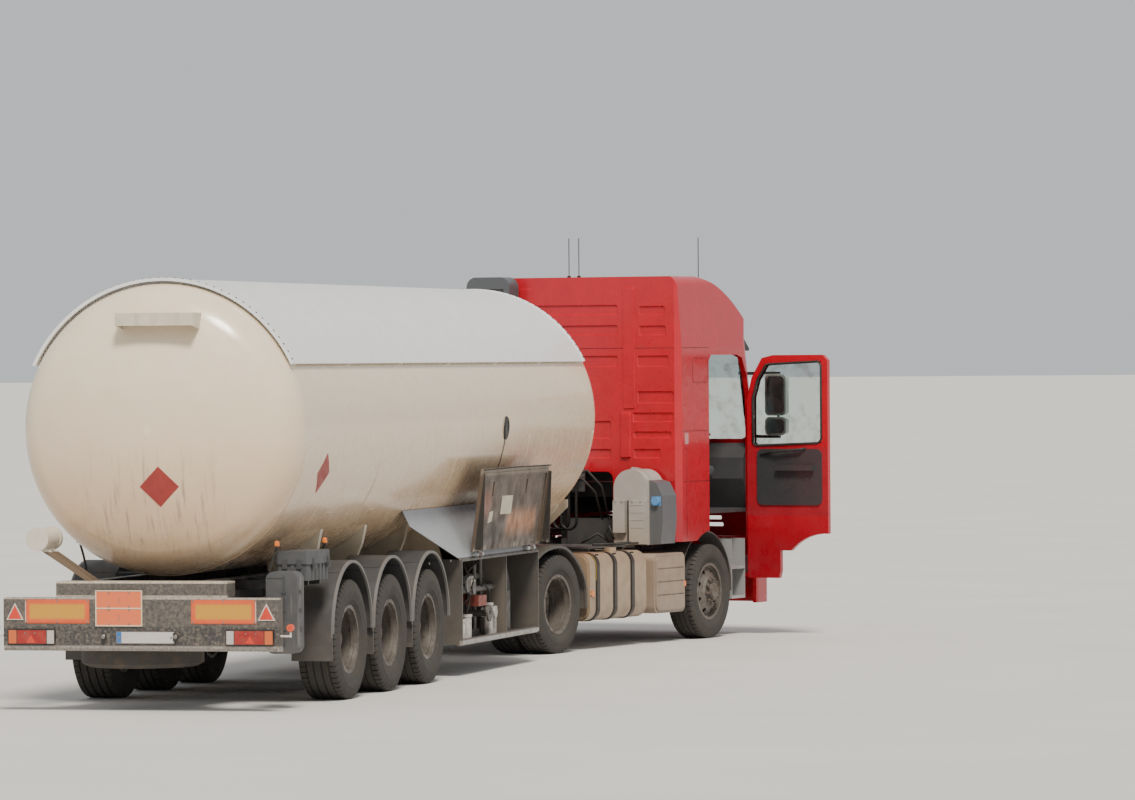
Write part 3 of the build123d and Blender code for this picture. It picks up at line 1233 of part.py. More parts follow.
# Right side: fuel tank with its straps and cap, and the side box ahead of it
tank_middle = (sum(FUEL_TANK_Y) / 2, sum(FUEL_TANK_Z) / 2)
tank_wide = FUEL_TANK_Y[1] - FUEL_TANK_Y[0]
tank_tall = FUEL_TANK_Z[1] - FUEL_TANK_Z[0]

with BuildPart() as fuel_tank:
    for inset, x in ((18, FUEL_TANK_X), (0, (FUEL_TANK_X[0] + 22, FUEL_TANK_X[1] - 22))):
        with BuildSketch(Plane.YZ.offset(x[0])):
            with Locations(tank_middle):
                RectangleRounded(tank_wide - 2 * inset, tank_tall - 2 * inset, FUEL_TANK_CORNER - inset)
        extrude(amount=x[1] - x[0])
    for x in STRAP_X:
        with BuildSketch(Plane.YZ.offset(x - STRAP_HALF)):
            with Locations(tank_middle):
                RectangleRounded(tank_wide + 14, tank_tall + 14, FUEL_TANK_CORNER + 7)
        extrude(amount=2 * STRAP_HALF)
        block(about(x, 2 * STRAP_HALF), (FUEL_TANK_Y[1] + 5, -rail_out), (RAIL_TOP - 200, RAIL_TOP - 30))
    rod((1500, FUEL_TANK_Y[0] + 160, FUEL_TANK_Z[1] + 20), 62, 44, "z")
    rod((744, FUEL_TANK_Y[0] - 6, 575), 26, 16, "y")
keep(fuel_tank.part, "fuel_tank", "tractor")

with BuildPart() as side_boxes:
    with BuildSketch(side_plane(-SIDE_BOX_IN)):
        with Locations((sum(SIDE_BOX_X) / 2, sum(SIDE_BOX_Z) / 2)):
            RectangleRounded(SIDE_BOX_X[1] - SIDE_BOX_X[0], SIDE_BOX_Z[1] - SIDE_BOX_Z[0], 80)
    extrude(amount=SIDE_BOX_OUT - SIDE_BOX_IN)
    with BuildSketch(side_plane(-SIDE_BOX_OUT + 1)):
        with Locations((sum(SIDE_BOX_X) / 2, sum(SIDE_BOX_Z) / 2)):
            RectangleRounded(SIDE_BOX_X[1] - SIDE_BOX_X[0] - 70, SIDE_BOX_Z[1] - SIDE_BOX_Z[0] - 60, 60)
    extrude(amount=15)
    for z in (505, 645, 785):
        groove_y = (-SIDE_BOX_OUT - 20, -SIDE_BOX_OUT - 4)
        block((SIDE_BOX_X[0] + 60, SIDE_BOX_X[1] - 60), groove_y, (z, z + 14), mode=Mode.SUBTRACT)
    block((SIDE_BOX_X[0] + 90, SIDE_BOX_X[1] - 90), (-SIDE_BOX_IN, -rail_out), (700, 860))
    left = ((640, SIDE_BOX_X[0] - 830), (SIDE_BOX_X[0] - 750, SIDE_BOX_X[1] - 75))
    for x, low in zip(left, (420, 330)):
        with BuildSketch(side_plane(SIDE_BOX_OUT - 20)):
            with Locations((sum(x) / 2, (low + 960) / 2)):
                RectangleRounded(x[1] - x[0], 960 - low, 60)
        extrude(amount=SIDE_BOX_OUT - 20 - SIDE_BOX_IN)
        block((x[0] + 60, x[1] - 60), (rail_out, SIDE_BOX_IN), (700, 860))
keep(side_boxes.part, "side_boxes", "tractor")

# Catwalk between the rails' tops, and the stand with the coupling hoses and the work lamp
stand = CAB_REAR - 360
HOSES = ((-80, -110), (-40, 0), (0, 110))
with BuildPart() as catwalk:
    block((1320, 2200), (-900, 900), (1030, 1050))
    for x in (1340, 2150):
        block((x, x + 30), (-rail_out, rail_out), (RAIL_TOP, 1030))
        block((x, x + 30), (-880, 880), (1000, 1030))
    block((stand - 20, stand + 60), (-rail_out, rail_out), (RAIL_TOP, 950))
    block((stand + 5, stand + 55), (-25, 25), (RAIL_TOP, 1900))
    block((stand - 100, stand + 55), (-240, 240), (1740, 1760))
    block((stand + 35, stand + 55), (-240, 240), (1600, 1840))
    for lead, y in HOSES:
        rod((stand + lead, y - 90, 1715), 22, 50, "z")
        rod((stand + lead, y + 90, 1715), 22, 50, "z")
        with BuildLine():
            Line((stand + lead, y - 90, 1700), (stand + lead, y - 90, 1290))
            ThreePointArc(
                (stand + lead, y - 90, 1290),
                (stand + lead, y, 1200),
                (stand + lead, y + 90, 1290),
            )
            Line((stand + lead, y + 90, 1290), (stand + lead, y + 90, 1700))
        with BuildSketch(Plane((stand + lead, y - 90, 1700))):
            Circle(15)
        sweep()
    rod((stand - 30, 0, 1480), 58, 50, "x")
    block((stand - 10, stand + 10), (-15, 15), (1460, 1500))
keep(catwalk.part, "catwalk", "tractor")

# Air cleaner behind the cab: a domed housing with a flanged side, and the snorkel at the left rear corner
CLEANER_X = (CAB_REAR - 460, CAB_REAR - 60)
CLEANER_Y = (-1055, -655)
CLEANER_RADIUS = 200
CLEANER_TOP = 1840
CLEANER_LOW = 1040
cleaner_middle = sum(CLEANER_Y) / 2
SNORKEL_Y = (705, 1225)
with BuildPart() as air_intake:
    with BuildSketch(Plane.YZ.offset(CLEANER_X[0])):
        patch(CLEANER_Y, (CLEANER_LOW, CLEANER_TOP - CLEANER_RADIUS))
        with Locations((cleaner_middle, CLEANER_TOP - CLEANER_RADIUS)):
            Circle(CLEANER_RADIUS)
    extrude(amount=CLEANER_X[1] - CLEANER_X[0])
    with BuildSketch(Plane.YZ.offset(CLEANER_X[0] + 120)):
        patch((CLEANER_Y[0] - 14, CLEANER_Y[1] + 14), (CLEANER_LOW + 5, CLEANER_TOP - CLEANER_RADIUS))
        with Locations((cleaner_middle, CLEANER_TOP - CLEANER_RADIUS)):
            Circle(CLEANER_RADIUS + 14)
    extrude(amount=26)
    with BuildSketch(Plane.YZ.offset(CLEANER_X[0] + 30)):
        Polygon(
            (CLEANER_Y[0] + 5, CLEANER_LOW + 10),
            (CLEANER_Y[0] - 140, CLEANER_LOW + 10),
            (CLEANER_Y[0] - 165, 1300),
            (CLEANER_Y[0] - 160, 1560),
            (CLEANER_Y[0] - 90, 1700),
            (CLEANER_Y[0] + 5, 1730),
            align=None,
        )
    extrude(amount=CLEANER_X[1] - CLEANER_X[0] - 60)
    rod((CLEANER_X[0] + 15, CLEANER_Y[0] - 92, 1505), 44, 50, "x")
    for y, z in (((-810, -670), (1170, 1510)), ((-1050, -860), (1050, 1510))):
        block((CLEANER_X[0] - 55, CLEANER_X[0] + 1), y, z)
    block((CLEANER_X[0] + 200, CLEANER_X[1] - 40), (-720, -330), (1000, CLEANER_LOW))
    block((CLEANER_X[0] + 200, CLEANER_X[1] - 40), (-450, -330), (RAIL_TOP, 1001))
    for x, y, z, corner in (
        ((CAB_REAR - 220, CAB_REAR), SNORKEL_Y, (3360, CAB_TOP + 10), 110),
        ((CAB_REAR - 165, CAB_REAR), (SNORKEL_Y[0] + 110, SNORKEL_Y[1] - 70), (1250, 3420), 50),
    ):
        with BuildSketch(Plane.YZ.offset(x[0])):
            with Locations((sum(y) / 2, sum(z) / 2)):
                RectangleRounded(y[1] - y[0], z[1] - z[0], corner)
        extrude(amount=x[1] - x[0])
    for slot in range(5):
        z = 3440 + 76 * slot
        louvre_y = (SNORKEL_Y[0] + 70, SNORKEL_Y[1] - 70)
        block((CAB_REAR - 221, CAB_REAR - 200), louvre_y, (z, z + 34), mode=Mode.SUBTRACT)
keep(air_intake.part, "air_intake", "tractor")

for side, word in ((1, "left"), (-1, "right")):
    with BuildPart() as knuckle:
        rod((WHEELBASE, side * KNUCKLE_Y, 495), PIN_RADIUS, 220, "z")
        for z in (412, 578):
            rod((WHEELBASE, side * KNUCKLE_Y, z), 45, 46, "z")
            block(
                (WHEELBASE - 40, WHEELBASE + 40),
                sorted((side * KNUCKLE_Y, side * (KNUCKLE_Y + 100))),
                (z - 23, z + 23),
            )
        block(
            (WHEELBASE - 60, WHEELBASE + 60),
            sorted((side * (KNUCKLE_Y + 70), side * (KNUCKLE_Y + 105))),
            (389, 601),
        )
        spindle = sorted((side * (KNUCKLE_Y + 80), side * (front_reach + 58)))
        rod((WHEELBASE, sum(spindle) / 2, TYRE_RADIUS), SPINDLE_RADIUS, spindle[1] - spindle[0], "y")
    keep(knuckle.part, f"knuckle_{word}", "tractor")


# Cab: a ruled form through plan sections, trimmed by the roof's side outline and the front outline
CAB_LEVELS = (
    (CAB_LOW - 300, CAB_FRONT),
    (SCREEN_FOOT[1], SCREEN_FOOT[0]),
    (SCREEN_HEAD[1], SCREEN_HEAD[0]),
    (CAB_TOP + 80, SCREEN_HEAD[0]),
)


def cab_form(inset):
    """The cab's closed form, drawn in from its outside by a distance."""
    side = CAB_HALF - inset
    rear = CAB_REAR + inset
    corner = FRONT_CORNER - inset
    rear_corner = max(REAR_CORNER - inset, 5)
    with BuildPart() as form:
        for z, front in CAB_LEVELS:
            nose = front - inset
            shoulder = nose - FRONT_BOW
            with BuildSketch(Plane.XY.offset(z)):
                with BuildLine():
                    bow = ThreePointArc((shoulder, corner - side), (nose, 0), (shoulder, side - corner))
                    first = TangentArc((shoulder, side - corner), (shoulder - corner, side), tangent=bow % 1)
                    Polyline(
                        first @ 1,
                        (rear + rear_corner, side),
                        (rear, side - rear_corner),
                        (rear, rear_corner - side),
                        (rear + rear_corner, -side),
                        (shoulder - corner, -side),
                    )
                    TangentArc((shoulder, corner - side), (shoulder - corner, -side), tangent=-1 * (bow % 0))
                make_face()
        loft(ruled=True)
        with BuildSketch(Plane.XZ):
            with BuildLine():
                roof = ThreePointArc((ROOF_BEND, CAB_TOP), (WHEELBASE + 510, 3680), (WHEELBASE + 1160, 3185))
                Polyline(
                    roof @ 1,
                    (CAB_FRONT + 200, 2700),
                    (CAB_FRONT + 200, CAB_LOW - 400),
                    (CAB_REAR - 100, CAB_LOW - 400),
                    (CAB_REAR - 100, CAB_TOP),
                    roof @ 0,
                )
            make_face()
            if inset:
                offset(amount=-inset, mode=Mode.REPLACE)
        extrude(amount=CAB_HALF + 100, both=True, mode=Mode.INTERSECT)
        with BuildSketch(Plane.YZ.offset(CAB_REAR - 100)):
            with BuildLine():
                Polyline(
                    (-CAB_HALF, CAB_LOW - 400),
                    (-CAB_HALF, ROOF_SEAM),
                    (-CAB_HALF + ROOF_LEAN, CAB_TOP + ROOF_CROWN),
                    (CAB_HALF - ROOF_LEAN, CAB_TOP + ROOF_CROWN),
                    (CAB_HALF, ROOF_SEAM),
                    (CAB_HALF, CAB_LOW - 400),
                    close=True,
                )
            outline = make_face()
            fillet(outline.vertices().group_by(Axis.Y)[-1], radius=ROOF_CORNER)
            if inset:
                offset(amount=-inset, mode=Mode.REPLACE)
        extrude(amount=CAB_FRONT - CAB_REAR + 300, mode=Mode.INTERSECT)
    return form.part


def cab_shell(outer, inner):
    """The wall of the cab between two depths below its outside."""
    with BuildPart() as wall:
        add(cab_form(outer))
        add(cab_form(inner), mode=Mode.SUBTRACT)
    return wall.part


def door_outline(growth):
    """The door seen from the side, grown by its gap."""
    front = DOOR_HINGE_X + growth
    rear = DOOR_REAR - growth
    top = DOOR_TOP + growth
    with BuildSketch(Plane.XZ) as outline:
        Polygon(
            (front, DOOR_LOW - growth),
            (front, 2560),
            (front - 60, 2800),
            (front - 190, top - 30),
            (front - 330, top),
            (rear + 60, top),
            (rear, top - 60),
            (rear, DOOR_LOW - growth),
            align=None,
        )
        with Locations((WHEELBASE, TYRE_RADIUS)):
            Circle(DOOR_ARCH - growth, mode=Mode.SUBTRACT)
        with Locations((DOOR_REAR, DOOR_LOW)):
            Rectangle(2 * (DOOR_ARCH - growth), 2 * 300, mode=Mode.SUBTRACT)
    return outline.sketch


def window_outline(growth):
    """The door's window seen from the side."""
    with BuildSketch(Plane.XZ) as outline:
        Polygon(
            (DOOR_HINGE_X - 75 + growth, 2060 - growth),
            (DOOR_HINGE_X - 75 + growth, 2580),
            (DOOR_HINGE_X - 135 + growth, 2780),
            (DOOR_HINGE_X - 245 + growth, DOOR_TOP - 100 + growth),
            (DOOR_REAR + 80 - growth, DOOR_TOP - 70 + growth),
            (DOOR_REAR + 80 - growth, 2090 - growth),
            align=None,
        )
    return outline.sketch


def screen_outline(growth):
    """The windscreen seen from ahead."""
    with BuildSketch(Plane.YZ.offset(FRONT_SEAM - 240)) as outline:
        with Locations((0, (SCREEN_FOOT[1] + 50 + 3080) / 2)):
            RectangleRounded(2 * (CAB_HALF - 130 + growth), 950 + 2 * growth, 110 + growth)
    return outline.sketch


def wall_pocket(y, z):
    """The rounded outline of a pressing on the plane of the rear wall."""
    with BuildSketch(Plane.YZ.offset(CAB_REAR)) as outline:
        with Locations((sum(y) / 2, sum(z) / 2)):
            RectangleRounded(y[1] - y[0], z[1] - z[0], 22)
    return outline.sketch


wall_skin = cab_shell(0, CAB_WALL)
inside_y = CAB_HALF - CAB_WALL
rear_inside = CAB_REAR + CAB_WALL
reach_y = CAB_HALF + 80
PRESS_DEPTH = 14
# Pockets of the rear wall: near and far edge to each side, low and high edge
SIDE_POCKETS = (
    ((740, 1050), (3481, 3578)),
    ((740, 1060), (3266, 3369)),
    ((715, 1090), (2929, 3049)),
    ((715, 1150), (2537, 2668)),
    ((660, 1150), (2337, 2440)),
    ((670, 1120), (2166, 2238)),
    ((670, 990), (1951, 2051)),
)
MIDDLE_POCKETS = (
    (490, (3486, 3595)),
    (490, (3271, 3377)),
    (490, (2930, 3050)),
    (400, (2160, 2350)),
    (400, (1950, 2050)),
)
# Raised bands of the rear wall: near and far edge to each side, low and high edge, height
BANDS = (((550, 692), (2480, 3780), 12), ((512, 640), (1950, 2440), 24))
REAR_OPENING = (800, 1807)

with BuildPart() as cab_rear_wall:
    add(wall_skin)
    block((CAB_REAR - 1, rear_inside), (-reach_y, reach_y), (CAB_LOW, CAB_TOP + 1), mode=Mode.INTERSECT)
    for side in (-1, 1):
        for y, z in SIDE_POCKETS:
            pocket = wall_pocket(sorted((side * y[0], side * y[1])), z)
            extrude(pocket, amount=PRESS_DEPTH, taper=35, mode=Mode.SUBTRACT)
        for y, z, height in BANDS:
            band = wall_pocket(sorted((side * y[0], side * y[1])), z)
            extrude(band, amount=-height, taper=30)
    for half, z in MIDDLE_POCKETS:
        extrude(wall_pocket((-half, half), z), amount=PRESS_DEPTH, taper=35, mode=Mode.SUBTRACT)
    with BuildSketch(Plane.YZ.offset(CAB_REAR - 30)):
        with Locations((0, sum(REAR_OPENING) / 2)):
            RectangleRounded(2 * 420, REAR_OPENING[1] - REAR_OPENING[0], 80)
        with Locations((0, CAB_LOW)):
            Rectangle(2 * 420, 60)
    extrude(amount=CAB_WALL + 32, mode=Mode.SUBTRACT)
keep(cab_rear_wall.part, "cab_rear_wall", "tractor")

with BuildPart() as cab_roof:
    add(wall_skin)
    block((rear_inside, CAB_FRONT + 1), (-reach_y, reach_y), (ROOF_SEAM, CAB_TOP + 1), mode=Mode.INTERSECT)
    extrude(screen_outline(0), amount=900, mode=Mode.SUBTRACT)
keep(cab_roof.part, "cab_roof", "tractor")

DOOR_KNUCKLE = 30
KNUCKLE_GAP = 0.3
with BuildPart() as cab_sides:
    add(wall_skin)
    block((rear_inside, FRONT_SEAM), (-reach_y, reach_y), (CAB_LOW, ROOF_SEAM), mode=Mode.INTERSECT)
    extrude(door_outline(DOOR_GAP), amount=reach_y, both=True, mode=Mode.SUBTRACT)
    rod((WHEELBASE, 0, TYRE_RADIUS), FRONT_ARCH, 2 * reach_y, "y", mode=Mode.SUBTRACT)
    block((rear_inside, FRONT_SEAM), (-inside_y, inside_y), (CAB_LOW, ROOF_SEAM + 1), mode=Mode.SUBTRACT)
    for side in (-1, 1):
        for z in DOOR_HINGE_Z:
            at = (DOOR_HINGE_X, side * CAB_HALF)
            rod((*at, z), DOOR_BARREL + 4, 2 * DOOR_KNUCKLE + 4, "z", mode=Mode.SUBTRACT)
            rod((*at, z), DOOR_PIN, 4 * DOOR_KNUCKLE, "z")
            for end in (-1, 1):
                height = z + end * (1.5 * DOOR_KNUCKLE + KNUCKLE_GAP)
                rod((*at, height), DOOR_BARREL, DOOR_KNUCKLE, "z")
keep(cab_sides.part, "cab_sides", "tractor")

GRILLE_HALF = 720
GRILLE_Z = (1150, 1750)
GRILLE_BARS = 8
with BuildPart() as cab_front:
    add(wall_skin)
    block((FRONT_SEAM, CAB_FRONT + 1), (-reach_y, reach_y), (CAB_LOW, ROOF_SEAM), mode=Mode.INTERSECT)
    extrude(screen_outline(0), amount=900, mode=Mode.SUBTRACT)
    pitch = (GRILLE_Z[1] - GRILLE_Z[0]) / GRILLE_BARS
    with BuildSketch(Plane.YZ.offset(FRONT_SEAM + 100)):
        for bar in range(GRILLE_BARS):
            with Locations((0, GRILLE_Z[0] + (bar + 0.5) * pitch)):
                RectangleRounded(2 * GRILLE_HALF - 40 * bar, 42, 14)
    extrude(amount=500, mode=Mode.SUBTRACT)
keep(cab_front.part, "cab_front", "tractor")

with BuildPart() as windscreen:
    add(cab_shell(22, 30))
    extrude(screen_outline(-SEAT_GAP), amount=900, mode=Mode.INTERSECT)
keep(windscreen.part, "windscreen", "tractor")

# Inside: floor with its tunnel, dashboard, steering wheel and column
floor_top = FLOOR_HEIGHT + FLOOR_PLATE
TUNNEL_REAR = WHEELBASE - 120
DASH_X = WHEELBASE + 940
WHEEL_X = WHEELBASE + 880
WHEEL_Z = 2020
with BuildPart() as cab_floor:
    block((rear_inside, DASH_X + 340), (-inside_y, inside_y), (FLOOR_HEIGHT, floor_top))
    block((rear_inside, TUNNEL_REAR), (-TUNNEL_HALF, TUNNEL_HALF), (FLOOR_HEIGHT, TUNNEL_HIGH))
    block((TUNNEL_REAR, DASH_X - 60), (-TUNNEL_HALF, TUNNEL_HALF), (FLOOR_HEIGHT, 1560))
    hollow = (-TUNNEL_HALF + 40, TUNNEL_HALF - 40)
    well_x = (rear_inside - 1, TUNNEL_REAR - 40)
    block(well_x, hollow, (FLOOR_HEIGHT - 1, TUNNEL_HIGH - 40), mode=Mode.SUBTRACT)
    block((TUNNEL_REAR - 100, DASH_X - 100), hollow, (FLOOR_HEIGHT - 1, 1520), mode=Mode.SUBTRACT)
    with BuildSketch(side_plane(inside_y)):
        Polygon(
            (DASH_X, 1700),
            (DASH_X + 140, floor_top),
            (DASH_X + 340, floor_top),
            (DASH_X + 340, 2060),
            (DASH_X + 250, 2085),
            (DASH_X + 80, 2040),
            (DASH_X + 10, 1930),
            align=None,
        )
    extrude(amount=2 * inside_y)
    rod((WHEEL_X, SEAT_Y, WHEEL_Z), 225, 34, "z")
    rod((WHEEL_X, SEAT_Y, WHEEL_Z), 197, 36, "z", mode=Mode.SUBTRACT)
    rod((WHEEL_X, SEAT_Y, WHEEL_Z - 12), 62, 34, "z")
    block(about(WHEEL_X, 36), about(SEAT_Y, 2 * 205), (WHEEL_Z - 16, WHEEL_Z + 4))
    block((WHEEL_X - 205, WHEEL_X), about(SEAT_Y, 36), (WHEEL_Z - 16, WHEEL_Z + 4))
    with BuildSketch(side_plane(SEAT_Y + 35)):
        Polygon(
            (WHEEL_X - 30, WHEEL_Z - 10),
            (WHEEL_X + 30, WHEEL_Z - 10),
            (DASH_X + 90, 1900),
            (DASH_X + 60, 1850),
            align=None,
        )
    extrude(amount=70)
    for side in (-1, 1):
        y = sorted((side * (inside_y - DOOR_CLEARANCE), side * (inside_y + 1)))
        block((DOOR_REAR - 15, DOOR_HINGE_X + 15), y, (FLOOR_HEIGHT - 1, 2100), mode=Mode.SUBTRACT)
    add(cab_form(CAB_WALL), mode=Mode.INTERSECT)
keep(cab_floor.part, "cab_floor", "tractor")

with BuildPart() as seats:
    for side in (-1, 1):
        y = side * SEAT_Y
        block((WHEELBASE + 180, WHEELBASE + 530), about(y, 360), (floor_top, 1720))
        block((WHEELBASE + 60, WHEELBASE + 610), about(y, 520), (1720, 1860))
        with BuildSketch(side_plane(y + 240)):
            Polygon(
                (WHEELBASE + 80, 1860),
                (WHEELBASE + 200, 1860),
                (WHEELBASE + 100, 2560),
                (WHEELBASE - 20, 2560),
                align=None,
            )
        extrude(amount=480)
    block((rear_inside, WHEELBASE - 60), (-inside_y, inside_y), (TUNNEL_HIGH, TUNNEL_HIGH + 130))
keep(seats.part, "seats", "tractor")

# Doors: each is as thick as the wall, with its window cut, a trim panel inside and its pane in the window
TRIM = 14
for side, word in ((1, "left"), (-1, "right")):
    hinge = Location((DOOR_HINGE_X, side * CAB_HALF, 0))
    swing = Location((0, 0, 0), (0, 0, -side * (DOOR_OPEN if word == "right" else 0)))
    turn = hinge * swing * hinge.inverse()
    inner = min(side * CAB_HALF, side * inside_y)
    with BuildPart() as door:
        extrude(door_outline(0).moved(Location((0, inner + CAB_WALL, 0))), amount=CAB_WALL)
        window = window_outline(0).moved(Location((0, inner + CAB_WALL + 1, 0)))
        extrude(window, amount=CAB_WALL + 2, mode=Mode.SUBTRACT)
        trim = sorted((side * inside_y, side * (inside_y - TRIM)))
        with BuildSketch(side_plane(trim[1])):
            with Locations(((DOOR_REAR + DOOR_HINGE_X) / 2 - 30, 1720)):
                RectangleRounded(DOOR_HINGE_X - DOOR_REAR - 200, 610, 70)
        extrude(amount=TRIM)
        arm = sorted((side * inside_y, side * (inside_y - 62)))
        block((DOOR_REAR + 160, DOOR_REAR + 620), arm, (1790, 1850))
        pull = sorted((side * CAB_HALF, side * (CAB_HALF + 14)))
        block((DOOR_REAR + 60, DOOR_REAR + 260), pull, (1900, 1940))
        for z in DOOR_HINGE_Z:
            at = (DOOR_HINGE_X, side * CAB_HALF)
            for end in (-1, 1):
                height = z + end * (1.5 * DOOR_KNUCKLE + 1)
                rod((*at, height), DOOR_BARREL + 4, DOOR_KNUCKLE + 2, "z", mode=Mode.SUBTRACT)
            rod((*at, z), DOOR_BARREL, 2 * DOOR_KNUCKLE, "z")
            rod((*at, z), DOOR_PIN + HINGE_FIT, 2 * DOOR_KNUCKLE + 2, "z", mode=Mode.SUBTRACT)
    keep(door.part.moved(turn), f"door_{word}", "tractor")
    with BuildPart() as pane:
        extrude(window_outline(-SEAT_GAP).moved(Location((0, inner + CAB_WALL / 2 + 3, 0))), amount=6)
    keep(pane.part.moved(turn), f"door_glass_{word}", "tractor")

# Below the cab: bumper with lamp recesses on its beam, and the steps
BUMPER_X = (WHEELBASE + 1020, WHEELBASE + 1520)
FRONT_BUMPER_LOW = 340
STEP_X = (WHEELBASE + 660, WHEELBASE + 980)
STEP_Y = (880, 1150)
bumper_half = CAB_HALF + 5
with BuildPart() as front_bumper:
    with BuildSketch(Plane.XY.offset(FRONT_BUMPER_LOW)):
        for growth, mode in ((0, Mode.ADD), (-40, Mode.SUBTRACT)):
            with BuildSketch(Plane.XY, mode=Mode.PRIVATE) as plan:
                with Locations((sum(BUMPER_X) / 2, 0)):
                    RectangleRounded(500 + 2 * growth, 2 * (bumper_half + growth), 160 + growth)
            add(plan.sketch, mode=mode)
        with Locations((BUMPER_X[0] - 340, 0)):
            Rectangle(900, 2 * reach_y, mode=Mode.SUBTRACT)
    extrude(amount=CAB_LOW - 5 - FRONT_BUMPER_LOW)
    tie_y = (-bumper_half + 35, bumper_half - 35)
    block((RAIL_FRONT - 60, RAIL_FRONT + 120), tie_y, (rail_low - 40, rail_low))
    block((BUMPER_X[1] - 45, BUMPER_X[1] + 1), (-560, 560), (420, 560), mode=Mode.SUBTRACT)
    for side in (-1, 1):
        y = sorted((side * 720, side * 1120))
        block((BUMPER_X[1] - 30, BUMPER_X[1] + 1), y, (620, 850), mode=Mode.SUBTRACT)
        for lamp in (820, 1010):
            rod((BUMPER_X[1] - 22, side * lamp, 735), 82, 24, "x")
        y = sorted((side * STEP_Y[0], side * STEP_Y[1]))
        for z in (400, 720):
            block(STEP_X, y, (z, z + 30))
        for x in (STEP_X[0] - 10, STEP_X[1]):
            block((x, x + 10), y, (400, 1050))
        block(STEP_X, sorted((side * STEP_Y[0], side * (STEP_Y[0] + 10))), (400, 1050))
        block((STEP_X[0] + 120, STEP_X[0] + 180), sorted((side * rail_out, side * STEP_Y[0])), (760, 820))
keep(front_bumper.part, "front_bumper", "tractor")

# Mirrors in two housings a side on arms, and the visor over the windscreen
MIRROR_X = WHEELBASE + 1130
with BuildPart() as mirrors:
    for side in (-1, 1):
        for z in (2140, 2830):
            y = sorted((side * (CAB_HALF - 200), side * (CAB_HALF + 300)))
            block(about(MIRROR_X, 34), y, (z, z + 34))
        rod((MIRROR_X, side * (CAB_HALF + 280), 2500), 15, 720, "z")
        for low, high in ((2170, 2370), (2385, 2835)):
            with BuildSketch(Plane.YZ.offset(MIRROR_X - 60)):
                with Locations((side * (CAB_HALF + 270), (low + high) / 2)):
                    RectangleRounded(250, high - low, 50)
            extrude(amount=120, taper=8)
    with BuildSketch(side_plane(CAB_HALF - 180)):
        Polygon(
            (SCREEN_HEAD[0] - 60, 3260),
            (SCREEN_HEAD[0] + 40, 3290),
            (SCREEN_HEAD[0] + 255, 3120),
            (SCREEN_HEAD[0] + 245, 3095),
            (SCREEN_HEAD[0] + 20, 3170),
            align=None,
        )
    extrude(amount=2 * (CAB_HALF - 180))
    add(cab_form(0), mode=Mode.SUBTRACT)
keep(mirrors.part, "mirrors", "tractor")

ANTENNAS = ((WHEELBASE - 270, 220), (WHEELBASE - 270, 340), (WHEELBASE + 280, -950))
with BuildPart() as roof_antennas:
    for x, y in ANTENNAS:
        rod((x, y, (CAB_TOP + 430 + 3500) / 2), 5, CAB_TOP + 430 - 3500, "z")
        rod((x, y, (CAB_TOP + 24 + 3500) / 2 - (100 if x > WHEELBASE else 0)), 20, CAB_TOP + 24 - 3500, "z")
    add(cab_form(0), mode=Mode.SUBTRACT)
keep(roof_antennas.part, "roof_antennas", "tractor")

# Every piece is set in one frame, whose origin is under the middle of the whole lorry
to_row = {
    "trailer": Location((0, 0, 0)),
    "tractor": Location((KINGPIN_X, 0, 0), (0, 0, REST_ARTICULATION)) * Location((-FIFTH_WHEEL_LEAD, 0, 0)),
}
placed = [(part.moved(to_row[frame]), part.label) for part, frame in PIECES]
boxes = [part.bounding_box() for part, label in placed]
low = [min(tuple(box.min)[i] for box in boxes) for i in range(3)]
high = [max(tuple(box.max)[i] for box in boxes) for i in range(3)]
origin = Location((-(low[0] + high[0]) / 2, -(low[1] + high[1]) / 2, -low[2]))

for part, label in placed:
    final = part.moved(origin)
    final.label = label
    export_step(final, f"parts/{label}.step")
print("origin", tuple(origin.position), "size", [round(high[i] - low[i], 1) for i in range(3)])
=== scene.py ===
import json
from math import atan2, cos, pi, radians, sin, sqrt

import bmesh
import bpy
from mathutils import Matrix, Vector


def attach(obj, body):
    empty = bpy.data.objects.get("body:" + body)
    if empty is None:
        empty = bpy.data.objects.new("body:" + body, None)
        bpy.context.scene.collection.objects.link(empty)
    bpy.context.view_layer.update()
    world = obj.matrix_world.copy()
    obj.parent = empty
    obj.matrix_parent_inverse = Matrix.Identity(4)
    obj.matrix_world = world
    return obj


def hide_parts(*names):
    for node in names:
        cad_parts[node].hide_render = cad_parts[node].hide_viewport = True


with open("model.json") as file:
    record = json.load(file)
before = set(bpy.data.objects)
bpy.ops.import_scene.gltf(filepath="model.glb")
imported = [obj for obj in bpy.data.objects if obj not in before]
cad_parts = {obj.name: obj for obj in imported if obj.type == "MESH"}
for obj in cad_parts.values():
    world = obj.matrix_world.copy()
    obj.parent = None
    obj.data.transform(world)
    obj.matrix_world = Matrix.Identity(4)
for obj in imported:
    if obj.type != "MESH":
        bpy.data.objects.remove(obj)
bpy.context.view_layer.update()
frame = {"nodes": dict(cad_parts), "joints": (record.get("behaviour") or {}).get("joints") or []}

# Shared frames: the trailer's is on the ground under its rearmost axle, the tractor's under its drive axle
SPOTS = {joint["name"]: Vector(joint["pos_m"]) for joint in frame["joints"]}


def ground_between(left, right):
    """The ground point midway between two joints."""
    middle = (SPOTS[left] + SPOTS[right]) / 2
    return Vector((middle.x, middle.y, 0.0))


TRAILER = ground_between("spin_trailer_1_left", "spin_trailer_1_right")
TRACTOR = ground_between("spin_drive_left", "spin_drive_right")
across = SPOTS["spin_drive_left"] - SPOTS["spin_drive_right"]
TURN = atan2(-across.x, across.y)
PLACES = {
    "trailer": Matrix.Translation(TRAILER),
    "tractor": Matrix.Translation(TRACTOR) @ Matrix.Rotation(TURN, 4, "Z"),
}
